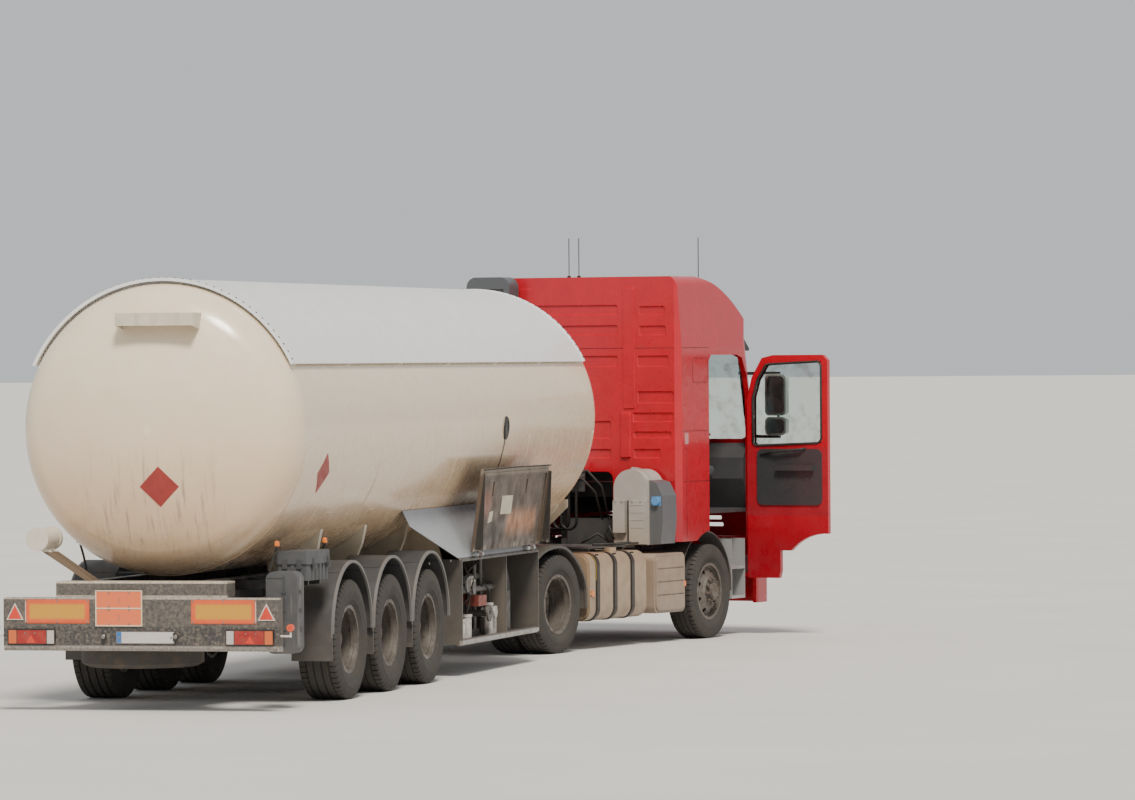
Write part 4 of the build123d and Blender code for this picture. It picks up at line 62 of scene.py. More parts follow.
# The whole part's own frame, the raised flap's at its hinge, and each door's at rest: the right one is open
PLACES["whole"] = Matrix.Identity(4)
FLAP_PIN = Matrix.Translation((0.0, -1.260, 1.150))
FLAP_TURN = Matrix.Rotation(radians(8.0), 4, "X")
PLACES["flap"] = PLACES["trailer"] @ FLAP_PIN @ FLAP_TURN
PLACES["door_left"] = PLACES["tractor"]
HINGE = Matrix.Translation((4.600, -1.220, 0.0))
DOOR_SWING = Matrix.Rotation(radians(85.0), 4, "Z")
PLACES["door_right"] = PLACES["tractor"] @ HINGE @ DOOR_SWING @ HINGE.inverted()
NODES = frame["nodes"]


def add(name, data):
    """A new object in the scene."""
    thing = bpy.data.objects.new(name, data)
    bpy.context.collection.objects.link(thing)
    return thing


# Camera: where the photograph was taken from, in the trailer's frame
CAMERA_AT = Vector((-51.906, -16.324, 3.010))
YAW, PITCH, ROLL = radians(14.16), radians(-0.38), radians(-0.41)
FOCAL = 192.41


def make_camera():
    """The camera at the photograph's place and angle."""
    data = bpy.data.cameras.new("camera")
    data.lens = FOCAL
    data.sensor_width = 36.0
    data.sensor_fit = "HORIZONTAL"
    data.clip_end = 2000.0
    camera = add("camera", data)
    ahead = Vector((cos(YAW) * cos(PITCH), sin(YAW) * cos(PITCH), sin(PITCH)))
    flat = Vector((sin(YAW), -cos(YAW), 0.0))
    rise = flat.cross(ahead)
    right = cos(ROLL) * flat + sin(ROLL) * rise
    up = -sin(ROLL) * flat + cos(ROLL) * rise
    turn = Matrix((right, up, -ahead)).transposed().to_4x4()
    camera.matrix_world = Matrix.Translation(TRAILER + CAMERA_AT) @ turn
    bpy.context.scene.camera = camera


make_camera()


# Node trees
class Tree:
    """Short calls for one material's nodes, with points taken in one of the frames of PLACES."""

    def __init__(self, name, place):
        self.material = bpy.data.materials.new(name)
        self.material.use_nodes = True
        self.tree = self.material.node_tree
        self.tree.nodes.clear()
        self.out = self.node("OutputMaterial")
        back = PLACES[place].inverted()
        mapping = self.node("Mapping", Location=back.to_translation(), Rotation=back.to_euler())
        self.put(self.node("TexCoord").outputs["Object"], mapping.inputs["Vector"])
        self.at = mapping.outputs["Vector"]
        self.axes = dict(zip("xyz", self.node("SeparateXYZ", Vector=self.at).outputs))

    def node(self, kind, **inputs):
        """A node, with a socket, number, colour or vector put in each of the named inputs."""
        node = self.tree.nodes.new("ShaderNode" + kind)
        for name, value in inputs.items():
            self.put(value, node.inputs[name.replace("_", " ")])
        return node

    def put(self, value, target):
        """Link a socket, or set a plain number, colour or vector."""
        if isinstance(value, bpy.types.NodeSocket):
            self.tree.links.new(value, target)
        elif isinstance(value, tuple):
            target.default_value = (*value, 1.0)
        else:
            target.default_value = value

    def math(self, operation, a, b, clamp=False):
        node = self.node("Math")
        node.operation = operation
        node.use_clamp = clamp
        self.put(a, node.inputs[0])
        self.put(b, node.inputs[1])
        return node.outputs[0]

    def noise(self, scale, detail=4.0, stretch=(1.0, 1.0, 1.0), rough=0.55):
        at = self.node("Mapping", Vector=self.at, Scale=Vector(stretch)).outputs["Vector"]
        return self.node("TexNoise", Vector=at, Scale=scale, Detail=detail, Roughness=rough).outputs[0]

    def span(self, value, low, high, low_to=0.0, high_to=1.0):
        """A smooth step from one value to another."""
        node = self.node("MapRange", Value=value, From_Min=low, From_Max=high, To_Min=low_to, To_Max=high_to)
        node.interpolation_type = "SMOOTHSTEP"
        return node.outputs["Result"]

    def mix(self, factor, a, b):
        node = self.node("Mix")
        node.data_type = "RGBA"
        self.put(factor, node.inputs[0])
        self.put(a, node.inputs[6])
        self.put(b, node.inputs[7])
        return node.outputs[2]

    def inside(self, soft=0.004, **ranges):
        """A mask that is 1 between the low and high value given for each axis."""
        mask = None
        for axis, (low, high) in ranges.items():
            rising = self.span(self.axes[axis], low - soft, low + soft)
            falling = self.span(self.axes[axis], high - soft, high + soft, 1.0, 0.0)
            band = self.math("MULTIPLY", rising, falling)
            mask = band if mask is None else self.math("MULTIPLY", mask, band)
        return mask

    def bump(self, height, strength, distance=0.01):
        return self.node("Bump", Strength=strength, Distance=distance, Height=height).outputs["Normal"]

    def surface(self, shader):
        """The finished material, with a shader as its surface."""
        self.put(shader.outputs[0], self.out.inputs["Surface"])
        return self.material

    def principled(self, **inputs):
        return self.surface(self.node("BsdfPrincipled", **inputs))


DIRT = (0.115, 0.085, 0.060)
DUST = (0.36, 0.31, 0.25)


def paint(
    name, colour, shade=None, place="trailer", dirt=0.3, soil=DIRT, low=(0.3, 1.3), streaks=0.0, grain=5.0,
    rough=(0.35, 0.6), metal=0.0, coat=0.0, dents=0.04, fine=0.1, zones=(), fades=(), runs=None,
):
    """A worn finish with any painted light asked for: two tones, fades along an axis (painted reflection and
    painted shade on the tank), zones of other colours, runs, streaks and dirt.
    """
    t = Tree(name, place)
    shade = shade or tuple(0.85 * c for c in colour)
    tone = t.span(t.noise(grain), 0.25, 0.75)
    base = t.mix(tone, colour, shade)
    uneven = t.span(t.noise(0.35 * grain, 3.0), 0.2, 0.8, 0.75, 1.0)
    for fade_colour, axis, start, end, strength in fades:
        share = t.math("MULTIPLY", t.span(t.axes[axis], start, end, 0.0, strength), uneven)
        base = t.mix(share, base, fade_colour)
    for zone_colour, ranges in zones:
        base = t.mix(t.inside(**ranges), base, zone_colour)
    cloud = t.noise(1.6 * grain, 8.0)
    lower = t.span(t.axes["z"], low[0], low[1], 1.0, 0.3)
    cover = t.math("MULTIPLY", t.span(cloud, 0.36, 0.78), lower)
    cover = t.math("MULTIPLY", cover, 1.3 * dirt, clamp=True)
    base = t.mix(cover, base, soil)
    if streaks:
        marks = t.span(t.noise(9.0, 3.0, (1.0, 1.0, 0.06)), 0.48, 0.75)
        marks = t.math("MULTIPLY", marks, streaks, clamp=True)
        base = t.mix(marks, base, soil)
    if runs:
        run_colour, strength, ranges = runs
        marks = t.span(t.noise(26.0, 6.0, (0.3, 1.0, 0.05), 0.7), 0.50, 0.72)
        marks = t.math("MULTIPLY", marks, t.inside(**ranges))
        base = t.mix(t.math("MULTIPLY", marks, strength, clamp=True), base, run_colour)
    grit = t.noise(60.0, 4.0)
    spread = t.span(cloud, 0.3, 0.7, rough[0], rough[1])
    roughness = t.math("ADD", spread, t.math("MULTIPLY", cover, 0.3), clamp=True)
    height = t.math("ADD", t.noise(2.2, 2.0), t.math("MULTIPLY", grit, fine))
    return t.principled(
        Base_Color=base, Roughness=roughness, Metallic=metal, Coat_Weight=coat, Coat_Roughness=0.12,
        Normal=t.bump(height, dents, 0.05),
    )


def glass():
    """Clear tinted glass with a little dust."""
    t = Tree("glass", "tractor")
    dust = t.span(t.noise(7.0, 6.0), 0.45, 0.8)
    tint = t.mix(dust, (0.80, 0.86, 0.85), (0.62, 0.66, 0.64))
    clear = t.node("BsdfGlass", Color=tint, Roughness=0.02, IOR=1.05)
    gloss = t.mix(dust, (0.9, 0.95, 1.0), (0.7, 0.7, 0.7))
    shine = t.node("BsdfGlossy", Color=gloss, Roughness=0.05)
    blend = t.node("MixShader")
    for part, target in zip((t.node("Fresnel", IOR=1.45), clear, shine), blend.inputs):
        t.put(part.outputs[0], target)
    return t.surface(blend)


# A warm tan painted low on the tank and its welds: painted reflection of light from the ground
GROUND_BOUNCE_TAN = (0.68, 0.43, 0.235)
RED = (0.54, 0.004, 0.018)
BLACK = (0.022, 0.022, 0.024)
SLATE = (0.040, 0.043, 0.048)
BROWN_DUST = (0.16, 0.125, 0.095)


def both(low, high):
    """The same range on the left and on the right."""
    return ((low, high), (-high, -low))


def zone(colour, **ranges):
    """A colour, and the ranges of the axes where it lies."""
    return (colour, ranges)


# Colour, sideways range, height range and softness: of the plates, and of what is on both sides of the rear
PLATE_ROWS = (
    ((0.74, 0.62, 0.45), (-0.03, 0.41), (0.742, 1.06), 0.004),
    ((0.80, 0.17, 0.06), (-0.010, 0.392), (0.755, 0.892), 0.002),
    ((0.80, 0.17, 0.06), (-0.010, 0.392), (0.905, 1.045), 0.002),
    ((0.10, 0.09, 0.09), (-0.32, 0.227), (0.585, 0.712), 0.004),
    ((0.58, 0.55, 0.53), (-0.304, 0.211), (0.601, 0.696), 0.002),
    ((0.03, 0.16, 0.42), (0.168, 0.211), (0.601, 0.696), 0.002),
)
LAMP_ROWS = (
    ((0.62, 0.30, 0.03), (0.500, 1.000), (0.808, 0.934), 0.014),
    ((0.62, 0.56, 0.50), (1.035, 1.225), (0.780, 0.960), 0.004),
    ((0.020, 0.018, 0.018), (0.750, 1.215), (0.570, 0.735), 0.004),
    ((0.50, 0.47, 0.43), (0.778, 0.842), (0.594, 0.708), 0.003),
    ((0.34, 0.020, 0.018), (0.850, 1.112), (0.594, 0.708), 0.003),
    ((0.62, 0.13, 0.03), (1.120, 1.190), (0.594, 0.708), 0.003),
    ((0.70, 0.64, 0.58), (1.226, 1.40), (0.6, 0.698), 0.004),
    ((0.03, 0.03, 0.032), (0.295, 0.355), (0.62, 0.69), 0.004),
)


def lamp_zones():
    """Zones of the plates, then of the boards, triangles and lamps on both sides."""
    zones = [zone(colour, y=y, z=z, soft=soft) for colour, y, z, soft in PLATE_ROWS]
    for colour, right, z, soft in LAMP_ROWS:
        zones += [zone(colour, y=y, z=z, soft=soft) for y in both(*right)]
    return tuple(zones)


# Where the straps lie round the fuel tank
STRAPS = (0.887, 1.291, 1.700)
CHASSIS = dict(colour=BLACK, dirt=0.4, soil=BROWN_DUST)
AXLE = dict(colour=BLACK, dirt=0.5, soil=BROWN_DUST, rough=(0.6, 0.8))
CAB_PAINT = dict(colour=RED, shade=(0.47, 0.004, 0.016), dirt=0.05, rough=(0.24, 0.36), coat=0.4)
TRIM = (0.045, 0.046, 0.050)
TRAILER_FINISHES = {
    "tank_shell": dict(
        colour=(0.87, 0.74, 0.56), shade=(0.84, 0.70, 0.51), dirt=0.04, low=(0.9, 2.6), rough=(0.20, 0.34),
        coat=0.45, soil=(0.42, 0.33, 0.22), fine=0.0, dents=0.03,
        # Painted light: the warm tan towards the bottom is painted reflection of light from the ground, and
        # the dark fade under it is painted shade on the belly
        fades=((GROUND_BOUNCE_TAN, "z", 3.2, 1.30, 0.85), ((0.20, 0.17, 0.145), "z", 1.66, 1.12, 0.65)),
        runs=((0.13, 0.09, 0.06), 0.75, dict(x=(-3.0, -1.75), y=(-0.62, 0.55), z=(1.20, 2.15), soft=0.28)),
    ),
    "sun_shield": dict(
        colour=(0.86, 0.86, 0.86), shade=(0.80, 0.81, 0.83), dirt=0.04, rough=(0.28, 0.42), coat=0.25,
        soil=(0.42, 0.38, 0.30), fine=0.03,
    ),
    "trailer_frame": CHASSIS,
    "trailer_axles": AXLE,
    "trailer_mudguards": dict(
        colour=SLATE, dirt=0.25, soil=BROWN_DUST, rough=(0.45, 0.6), fine=0.05,
        zones=tuple(zone((0.15, 0.145, 0.14), y=y, z=(0.58, 1.30)) for y in both(1.2275, 1.26)),
        fades=(((0.12, 0.10, 0.085), "z", 1.2, 0.45, 0.5),),
    ),
    "pump_cabinet": dict(
        colour=(0.105, 0.098, 0.090), dirt=0.35, rough=(0.35, 0.55), metal=0.2,
        zones=(
            zone((0.40, 0.43, 0.46), z=(1.135, 1.80)),
            zone((0.40, 0.39, 0.37), y=(-1.26, -1.215), z=(0.30, 0.345)),
            zone((0.15, 0.130, 0.110), x=(5.42, 5.56), y=(-1.21, -0.40), z=(0.34, 1.11)),
        ),
        fades=(((0.16, 0.14, 0.12), "z", 1.0, 0.3, 0.4),),
    ),
    "pump_set": dict(
        colour=(0.15, 0.145, 0.14), shade=(0.09, 0.085, 0.08), dirt=0.45, metal=0.3,
        grain=9.0,
        zones=(
            zone((0.58, 0.56, 0.52), x=(4.04, 4.40), y=(-1.19, -1.02), z=(0.30, 0.60)),
            zone((0.50, 0.48, 0.45), x=(5.09, 5.36), y=(-1.19, -1.05), z=(0.30, 0.66)),
            zone((0.62, 0.016, 0.018), x=(3.74, 3.97), y=(-1.20, -1.085), z=(0.40, 0.60)),
            zone((0.26, 0.065, 0.050), x=(4.55, 4.87), y=(-1.20, -0.93), z=(0.63, 0.75)),
            zone((0.33, 0.33, 0.33), x=(4.59, 4.83), y=(-1.07, -0.93), z=(0.76, 0.93)),
        ),
    ),
    "left_locker": dict(
        colour=(0.30, 0.30, 0.29), dirt=0.35, fades=(((0.20, 0.17, 0.14), "z", 1.0, 0.3, 0.5),),
    ),
    "tank_supports": dict(
        colour=(0.74, 0.66, 0.52), streaks=0.25, rough=(0.35, 0.55),
        fades=(((0.30, 0.24, 0.17), "z", 1.55, 1.10, 0.75),),
    ),
    "landing_legs": CHASSIS,
    "rear_bumper": dict(
        colour=(0.10, 0.090, 0.082), shade=(0.060, 0.054, 0.050), dirt=0.75, soil=(0.20, 0.17, 0.14),
        grain=26.0, rough=(0.5, 0.8), low=(0.5, 3.0),
        zones=(
            zone((0.042, 0.040, 0.040), x=(-2.30, -2.20), z=(0.576, 0.742), soft=0.012),
            zone((0.46, 0.41, 0.35), x=(-2.30, -2.20), z=(0.977, 1.01)),
            zone((0.50, 0.43, 0.34), z=(1.112, 1.14)),
            zone((0.36, 0.33, 0.30), z=(0.50, 0.575), soft=0.008),
        ),
    ),
    "rear_lamps": dict(
        colour=(0.78, 0.12, 0.035), dirt=0.18, rough=(0.25, 0.4), grain=9.0, fine=0.04, zones=lamp_zones(),
        soil=(0.42, 0.22, 0.12),
    ),
    "rear_boxes": dict(
        colour=(0.085, 0.088, 0.094), shade=(0.068, 0.070, 0.075), soil=BROWN_DUST,
        rough=(0.5, 0.7), fine=0.05,
        zones=(
            zone((0.66, 0.60, 0.50), y=(0.84, 1.08), z=(1.37, 1.62)),
            zone((0.16, 0.11, 0.07), y=(0.42, 0.99), z=(1.128, 1.378)),
        ),
        runs=((0.40, 0.36, 0.31), 0.5, dict(x=(-1.85, -1.55), y=(-1.28, -1.20), z=(0.45, 1.16), soft=0.02)),
    ),
    "cabinet_flap": dict(
        colour=(0.125, 0.088, 0.062), shade=(0.085, 0.062, 0.045), dirt=0.6,
        soil=(0.032, 0.027, 0.023), rough=(0.35, 0.55), metal=0.10, grain=3.0, low=(0.0, 0.9),
        zones=(
            zone((0.48, 0.23, 0.12), x=(5.15, 6.25), z=(0.19, 0.38), soft=0.09),
            zone((0.30, 0.14, 0.10), x=(4.05, 4.45), z=(0.38, 0.60), soft=0.09),
            zone((0.045, 0.036, 0.030), x=(4.40, 5.00), z=(0.08, 0.30), soft=0.11),
            zone((0.22, 0.18, 0.13), z=(0.77, 0.92), soft=0.02),
            zone((0.030, 0.026, 0.023), y=(-0.2, -0.028), z=(0.05, 0.785), soft=0.002),
        ),
        runs=((0.66, 0.58, 0.47), 1.0, dict(x=(4.0, 6.6), z=(-0.01, 0.085), soft=0.025)),
    ),
    "spare_wheel": dict(colour=(0.065, 0.060, 0.054), dirt=0.5, soil=BROWN_DUST, rough=(0.75, 0.95)),
}
FINISHES = {
    **TRAILER_FINISHES,
    "tractor_frame": CHASSIS,
    "engine_block": dict(colour=(0.05, 0.05, 0.05), dirt=0.5),
    "tractor_axles": AXLE,
    "fifth_wheel": dict(colour=(0.03, 0.028, 0.025), dirt=0.5, rough=(0.3, 0.6), metal=0.5),
    "tractor_mudguards": dict(
        colour=(0.085, 0.080, 0.076), soil=BROWN_DUST, rough=(0.5, 0.65), fine=0.05,
        fades=(((0.15, 0.125, 0.10), "z", 1.1, 0.4, 0.5),),
    ),
    "fuel_tank": dict(
        colour=(0.47, 0.345, 0.235), shade=(0.42, 0.305, 0.205), dirt=0.18, rough=(0.28, 0.42), metal=0.40,
        fine=0.04,
        zones=(
            *(zone((0.050, 0.042, 0.036), x=(x - 0.055, x + 0.055), soft=0.002) for x in STRAPS),
            zone((0.62, 0.42, 0.04), x=(0.846, 0.858), z=(0.72, 1.02)),
        ),
        fades=(((0.30, 0.23, 0.17), "z", 0.8, 0.3, 0.6),),
    ),
    "side_boxes": dict(
        colour=(0.33, 0.245, 0.18), shade=(0.295, 0.22, 0.16), dirt=0.18, rough=(0.38, 0.5), fine=0.04,
        fades=(((0.30, 0.24, 0.19), "z", 0.8, 0.3, 0.6),),
    ),
    "catwalk": dict(
        colour=(0.14, 0.14, 0.14), dirt=0.4, metal=0.6,
        zones=(zone((0.016, 0.016, 0.017), x=(2.40, 2.53), y=(-0.26, 0.26), z=(1.10, 1.735)),),
    ),
    "air_intake": dict(
        colour=(0.42, 0.39, 0.36), shade=(0.37, 0.345, 0.315), dirt=0.20, rough=(0.38, 0.5), fine=0.04,
        zones=(
            zone((0.105, 0.110, 0.118), y=(-1.30, -1.062), z=(0.9, 2.0)),
            zone((0.10, 0.29, 0.58), x=(2.37, 2.432), y=(-1.20, -1.09), z=(1.455, 1.555)),
            zone((0.085, 0.095, 0.105), y=(0.5, 1.3), z=(1.2, 4.0)),
            zone((0.020, 0.020, 0.022), x=(2.35, 2.95), y=(-0.86, -0.815), z=(1.05, 1.51)),
        ),
        fades=(((0.42, 0.33, 0.24), "z", 1.5, 1.05, 0.6),),
    ),
    "cab_rear_wall": dict(CAB_PAINT, low=(1.0, 2.2), fades=(((0.20, 0.012, 0.018), "z", 2.0, 1.1, 0.5),)),
    "cab_roof": dict(
        CAB_PAINT,
        fades=(((0.34, 0.020, 0.022), "y", -1.05, -1.22, 0.4), ((0.34, 0.020, 0.022), "y", 1.05, 1.22, 0.4)),
    ),
    "cab_sides": dict(
        CAB_PAINT, low=(0.8, 2.0),
        fades=(((0.34, 0.020, 0.022), "z", 2.2, 3.1, 0.4), ((0.16, 0.012, 0.016), "z", 1.9, 1.0, 0.5)),
    ),
    "cab_front": dict(CAB_PAINT, low=(0.8, 2.0)),
    "cab_floor": dict(colour=TRIM, dirt=0.2, rough=(0.6, 0.8)),
    "seats": dict(colour=(0.05, 0.055, 0.07), dirt=0.1, rough=(0.8, 0.95)),
    "front_bumper": dict(
        CAB_PAINT, low=(0.4, 1.6),
        zones=(
            zone((0.30, 0.30, 0.30), x=(4.26, 4.62), z=(0.38, 1.06)),
            *(zone((0.46, 0.46, 0.48), x=(5.10, 5.15), y=y, z=(0.62, 0.85)) for y in both(0.72, 1.12)),
        ),
    ),
    "mirrors": dict(
        colour=BLACK, dirt=0.2, rough=(0.4, 0.6),
        zones=tuple(
            zone((0.55, 0.54, 0.52), x=(4.68, 4.83), y=y, z=(2.165, 2.84)) for y in both(1.30, 1.64)
        ),
    ),
    "roof_antennas": dict(colour=BLACK, dirt=0.1),
    "door_left": dict(CAB_PAINT, low=(0.8, 2.0), zones=(zone(TRIM, y=(0.98, 1.1635), z=(1.30, 2.05)),)),
    "door_right": dict(
        CAB_PAINT, low=(0.8, 2.0),
        zones=(zone(TRIM, y=(-1.1635, -0.98), z=(1.30, 2.05)),),
        fades=(((0.12, 0.008, 0.014), "z", 1.7, 0.7, 0.6),),
    ),
    "knuckle": dict(CHASSIS, dirt=0.5),
    "tyre": dict(
        colour=(0.048, 0.044, 0.040), shade=(0.038, 0.035, 0.032), dirt=0.35,
        soil=(0.092, 0.077, 0.062), rough=(0.75, 0.95), low=(0.2, 2.0), grain=7.0, fine=0.15,
    ),
    "rim": dict(
        colour=(0.19, 0.170, 0.150), shade=(0.14, 0.125, 0.11), dirt=0.6, soil=(0.085, 0.065, 0.050),
        metal=0.35, low=(0.2, 2.0), grain=11.0,
    ),
}


def finish_of(node):
    """The finish that a node takes: its own, or the one named by its first word."""
    if node == "windscreen" or node.startswith("door_glass"):
        return "glass"
    return node if node in FINISHES else node.split("_")[0]


def place_of(node):
    """The frame in which a node's finish is laid."""
    if node == "cabinet_flap":
        return "flap"
    if node.startswith("door_"):
        return node
    return "trailer" if node in TRAILER_FINISHES or "trailer" in node else "tractor"


made = {"glass": glass()}
for node in NODES:
    finish = finish_of(node)
    if finish not in made:
        made[finish] = paint(finish, place=place_of(node), **FINISHES[finish])
    for spot in NODES[node].material_slots:
        spot.link = "OBJECT"
        spot.material = made[finish]


def pair_across(axis):
    """Two directions square to an axis and to each other."""
    first = axis.orthogonal().normalized()
    return first, axis.cross(first)


def spoke(pair, angle):
    """The direction at an angle between a pair of directions."""
    return cos(angle) * pair[0] + sin(angle) * pair[1]


# Meshes
class Shape:
    """A mesh in one of the frames of PLACES, gathered from simple forms."""

    def __init__(self, place="trailer"):
        self.form = bmesh.new()
        self.place = PLACES[place]
        self.body = "cabinet_flap" if place == "flap" else place

    def ring(self, points):
        return [self.form.verts.new(self.place @ Vector(p)) for p in points]

    def join(self, loops):
        """Faces between neighbouring loops of vertices."""
        count = len(loops[0])
        for one, two in zip(loops, loops[1:]):
            for i in range(count):
                j = (i + 1) % count
                self.form.faces.new((one[i], one[j], two[j], two[i]))

    def skin(self, rings):
        """Join rings of points by faces, and close both ends."""
        loops = [self.ring(points) for points in rings]
        self.join(loops)
        self.form.faces.new(list(reversed(loops[0])))
        self.form.faces.new(loops[-1])

    def slab(self, low, high, edge=0.0):
        """A block with its edges parallel to X cut back."""
        (x0, y0, z0), (x1, y1, z1) = low, high
        e = min(edge, 0.45 * (y1 - y0), 0.45 * (z1 - z0))
        if e:
            outline = [
                (y0 + e, z0), (y1 - e, z0), (y1, z0 + e), (y1, z1 - e),
                (y1 - e, z1), (y0 + e, z1), (y0, z1 - e), (y0, z0 + e),
            ]
        else:
            outline = [(y0, z0), (y1, z0), (y1, z1), (y0, z1)]
        self.prism(outline, x0, x1)

    def prism(self, outline, low, high, axis="x"):
        """An outline of two coordinates, pushed along X or Y."""
        rings = []
        for w in (low, high):
            rings.append([(w, u, v) if axis == "x" else (u, w, v) for u, v in outline])
        self.skin(rings)

    def lathe(self, centre, axis, profile, sides=16):
        """A profile of (along, radius) turned about an axis through a centre."""
        axis = Vector(axis).normalized()
        pair = pair_across(axis)
        centre = Vector(centre)
        around = [spoke(pair, 2 * pi * i / sides) for i in range(sides)]
        self.skin([[centre + along * axis + radius * out for out in around] for along, radius in profile])

    def bolt(self, centre, axis, radius, height):
        """A hexagon head on a washer."""
        self.lathe(centre, axis, ((-0.001, 1.5 * radius), (0.25 * height, 1.5 * radius)), 12)
        self.lathe(centre, axis, ((0.2 * height, radius), (0.8 * height, radius), (height, 0.8 * radius)), 6)

    def tube(self, points, radius, sides=8):
        """A round bar or hose along points."""
        points = [Vector(p) for p in points]
        rings = []
        side = None
        for i, point in enumerate(points):
            before = points[max(i - 1, 0)]
            after = points[min(i + 1, len(points) - 1)]
            along = (after - before).normalized()
            if side is None:
                side = along.orthogonal().normalized()
            side = (side - side.dot(along) * along).normalized()
            pair = (side, along.cross(side))
            rings.append([point + radius * spoke(pair, 2 * pi * k / sides) for k in range(sides)])
        self.skin(rings)

    def tubes(self, table):
        """Hoses from a table whose rows hold a radius and then the points."""
        for radius, *points in table:
            self.tube(points, radius)

    def finish(self, name, slot, material, smooth=False, replaces=(), bevel=0.0, body=None):
        """Make the object, and have it ride on the body of its frame, or on the one given."""
        body = body or self.body
        bmesh.ops.recalc_face_normals(self.form, faces=self.form.faces)
        mesh = bpy.data.meshes.new(name)
        self.form.to_mesh(mesh)
        self.form.free()
        for face in mesh.polygons:
            face.use_smooth = smooth
        thing = add(name, mesh)
        thing.data.materials.append(material)
        if bevel:
            soft = thing.modifiers.new("bevel", "BEVEL")
            soft.width = bevel
            soft.segments = 2
            soft.limit_method = "ANGLE"
        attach(thing, body)
        if replaces:
            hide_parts(*replaces)
        return thing


def smooth_by_angle(thing, angle):
    """Keep the sharp edges of a smoothly shaded mesh."""
    mesh = thing.data
    form = bmesh.new()
    form.from_mesh(mesh)
    for edge in form.edges:
        edge.smooth = len(edge.link_faces) == 2 and edge.calc_face_angle() < radians(angle)
    form.to_mesh(mesh)
    form.free()


# Wheels: tyres with ribs and shoulder blocks, nuts and hub caps
# For each kind of wheel, its tyres' radius, width and sideways places
TYRES = {
    "trailer": (0.535, 0.385, (0.0,)),
    "drive": (0.507, 0.312, (-0.172, 0.172)),
    "front": (0.507, 0.312, (0.0,)),
}
BEAD = 0.2885
# Shares of a tyre's width with heights over the bead, depths under the crown, and depths under the shoulder
LOWER_WALL = ((0.372, 0.001), (0.395, 0.022), (0.415, 0.030), (0.452, 0.058), (0.462, 0.060))
UPPER_WALL = ((0.480, 0.150), (0.497, 0.110), (0.497, 0.100), (0.490, 0.092), (0.480, 0.060))
SHOULDER = ((0.462, 0.036), (0.440, 0.012), (0.405, 0.002))
BLOCKS = 54
# Shares of a block's length where the section changes, and whether it is cut there
BLOCK_SHARES = ((0.0, False), (0.80, False), (0.82, True), (0.98, True))
NUTS = 10
NUT_CIRCLE = 0.131
NUT_FACE = {"trailer": -0.088, "drive": 0.016, "front": 0.147}
# A washer, a nut and a bolt's end, each with its number of sides
NUT_PROFILES = (
    (((-0.002, 0.020), (0.006, 0.020)), 12),
    (((0.004, 0.0165), (0.026, 0.0165), (0.031, 0.012)), 6),
    (((0.02, 0.010), (0.042, 0.010)), 8),
)
HUB_END = {"trailer": 0.055, "drive": 0.120, "front": 0.185}
CAP_PROFILE = ((-0.004, 0.080), (0.010, 0.078), (0.016, 0.060), (0.017, 0.020))
CAP_SCREWS = 6
CAP_CIRCLE = 0.100
SCREW_PROFILE = ((0.0, 0.009), (0.010, 0.009), (0.012, 0.006))


def tyre_section(radius, width, cut):
    """The tyre's outline as (across, radius) from bead to bead; a cut leaves out the shoulder block."""
    shoulder = radius - (0.011 if cut else 0.0)
    side = [(share * width, BEAD + rise) for share, rise in LOWER_WALL]
    side += [(share * width, radius - drop) for share, drop in UPPER_WALL]
    side += [(share * width, shoulder - drop) for share, drop in SHOULDER]
    tread = []
    for middle in (0.270, 0.095):
        for offset, depth in ((0.020, 0.0), (0.014, 0.013), (-0.014, 0.013), (-0.020, 0.0)):
            rim = shoulder if middle > 0.2 and offset > 0 else radius
            tread.append(((middle + offset) * width, rim - depth))
    right = side + tread
    left = [(-across, reach) for across, reach in reversed(right)]
    inner = [(-0.30 * width, BEAD), (0.30 * width, BEAD)]
    return right + left + inner


def make_tyre(name, centre, axis, kind):
    """A tyre, or a pair, as one mesh that replaces the CAD one."""
    radius, width, shifts = TYRES[kind]
    old = ("tyre_" + name,)
    shape = Shape("whole")
    pair = pair_across(axis)
    for shift in shifts:
        loops = []
        for block in range(BLOCKS):
            for share, cut in BLOCK_SHARES:
                out = spoke(pair, 2 * pi * (block + share) / BLOCKS)
                points = []
                for across, reach in tyre_section(radius, width, cut):
                    points.append(centre + (shift + across) * axis + reach * out)
                loops.append(shape.ring(points))
        shape.join(loops + loops[:1])
    body = "wheel_" + name
    tyre = shape.finish("tread_" + name, "tyre", made["tyre"], smooth=True, replaces=old, body=body)
    smooth_by_angle(tyre, 32.0)


def make_nuts(name, centre, axis, kind):
    """Ten wheel nuts on their washers, and the hub's cap with its six screws."""
    shape = Shape("whole")
    pair = pair_across(axis)
    for nut in range(NUTS):
        spot = centre + NUT_FACE[kind] * axis + NUT_CIRCLE * spoke(pair, 2 * pi * nut / NUTS)
        for profile, sides in NUT_PROFILES:
            shape.lathe(spot, axis, profile, sides)
    cap = centre + HUB_END[kind] * axis
    shape.lathe(cap, axis, CAP_PROFILE, 24)
    for screw in range(CAP_SCREWS):
        angle = 2 * pi * (screw + 0.5) / CAP_SCREWS
        shape.lathe(cap - 0.03 * axis + CAP_CIRCLE * spoke(pair, angle), axis, SCREW_PROFILE, 6)
    shape.finish("nuts_" + name, "rim_steel", nut_steel, body="wheel_" + name)


nut_steel = paint("wheel_nuts", (0.16, 0.13, 0.11), dirt=0.5, metal=0.5)
for joint in frame["joints"]:
    if joint["name"].startswith("spin_"):
        name = joint["name"].removeprefix("spin_")
        kind = name.split("_")[0]
        centre = Vector(joint["pos_m"])
        axis = Vector(joint["axis"]).normalized()
        place = PLACES["trailer" if kind == "trailer" else "tractor"]
        outward = place.to_3x3() @ Vector((0.0, 1.0 if name.endswith("left") else -1.0, 0.0))
        axis = axis if axis.dot(outward) > 0 else -axis
        make_tyre(name, centre, axis, kind)
        make_nuts(name, centre, axis, kind)

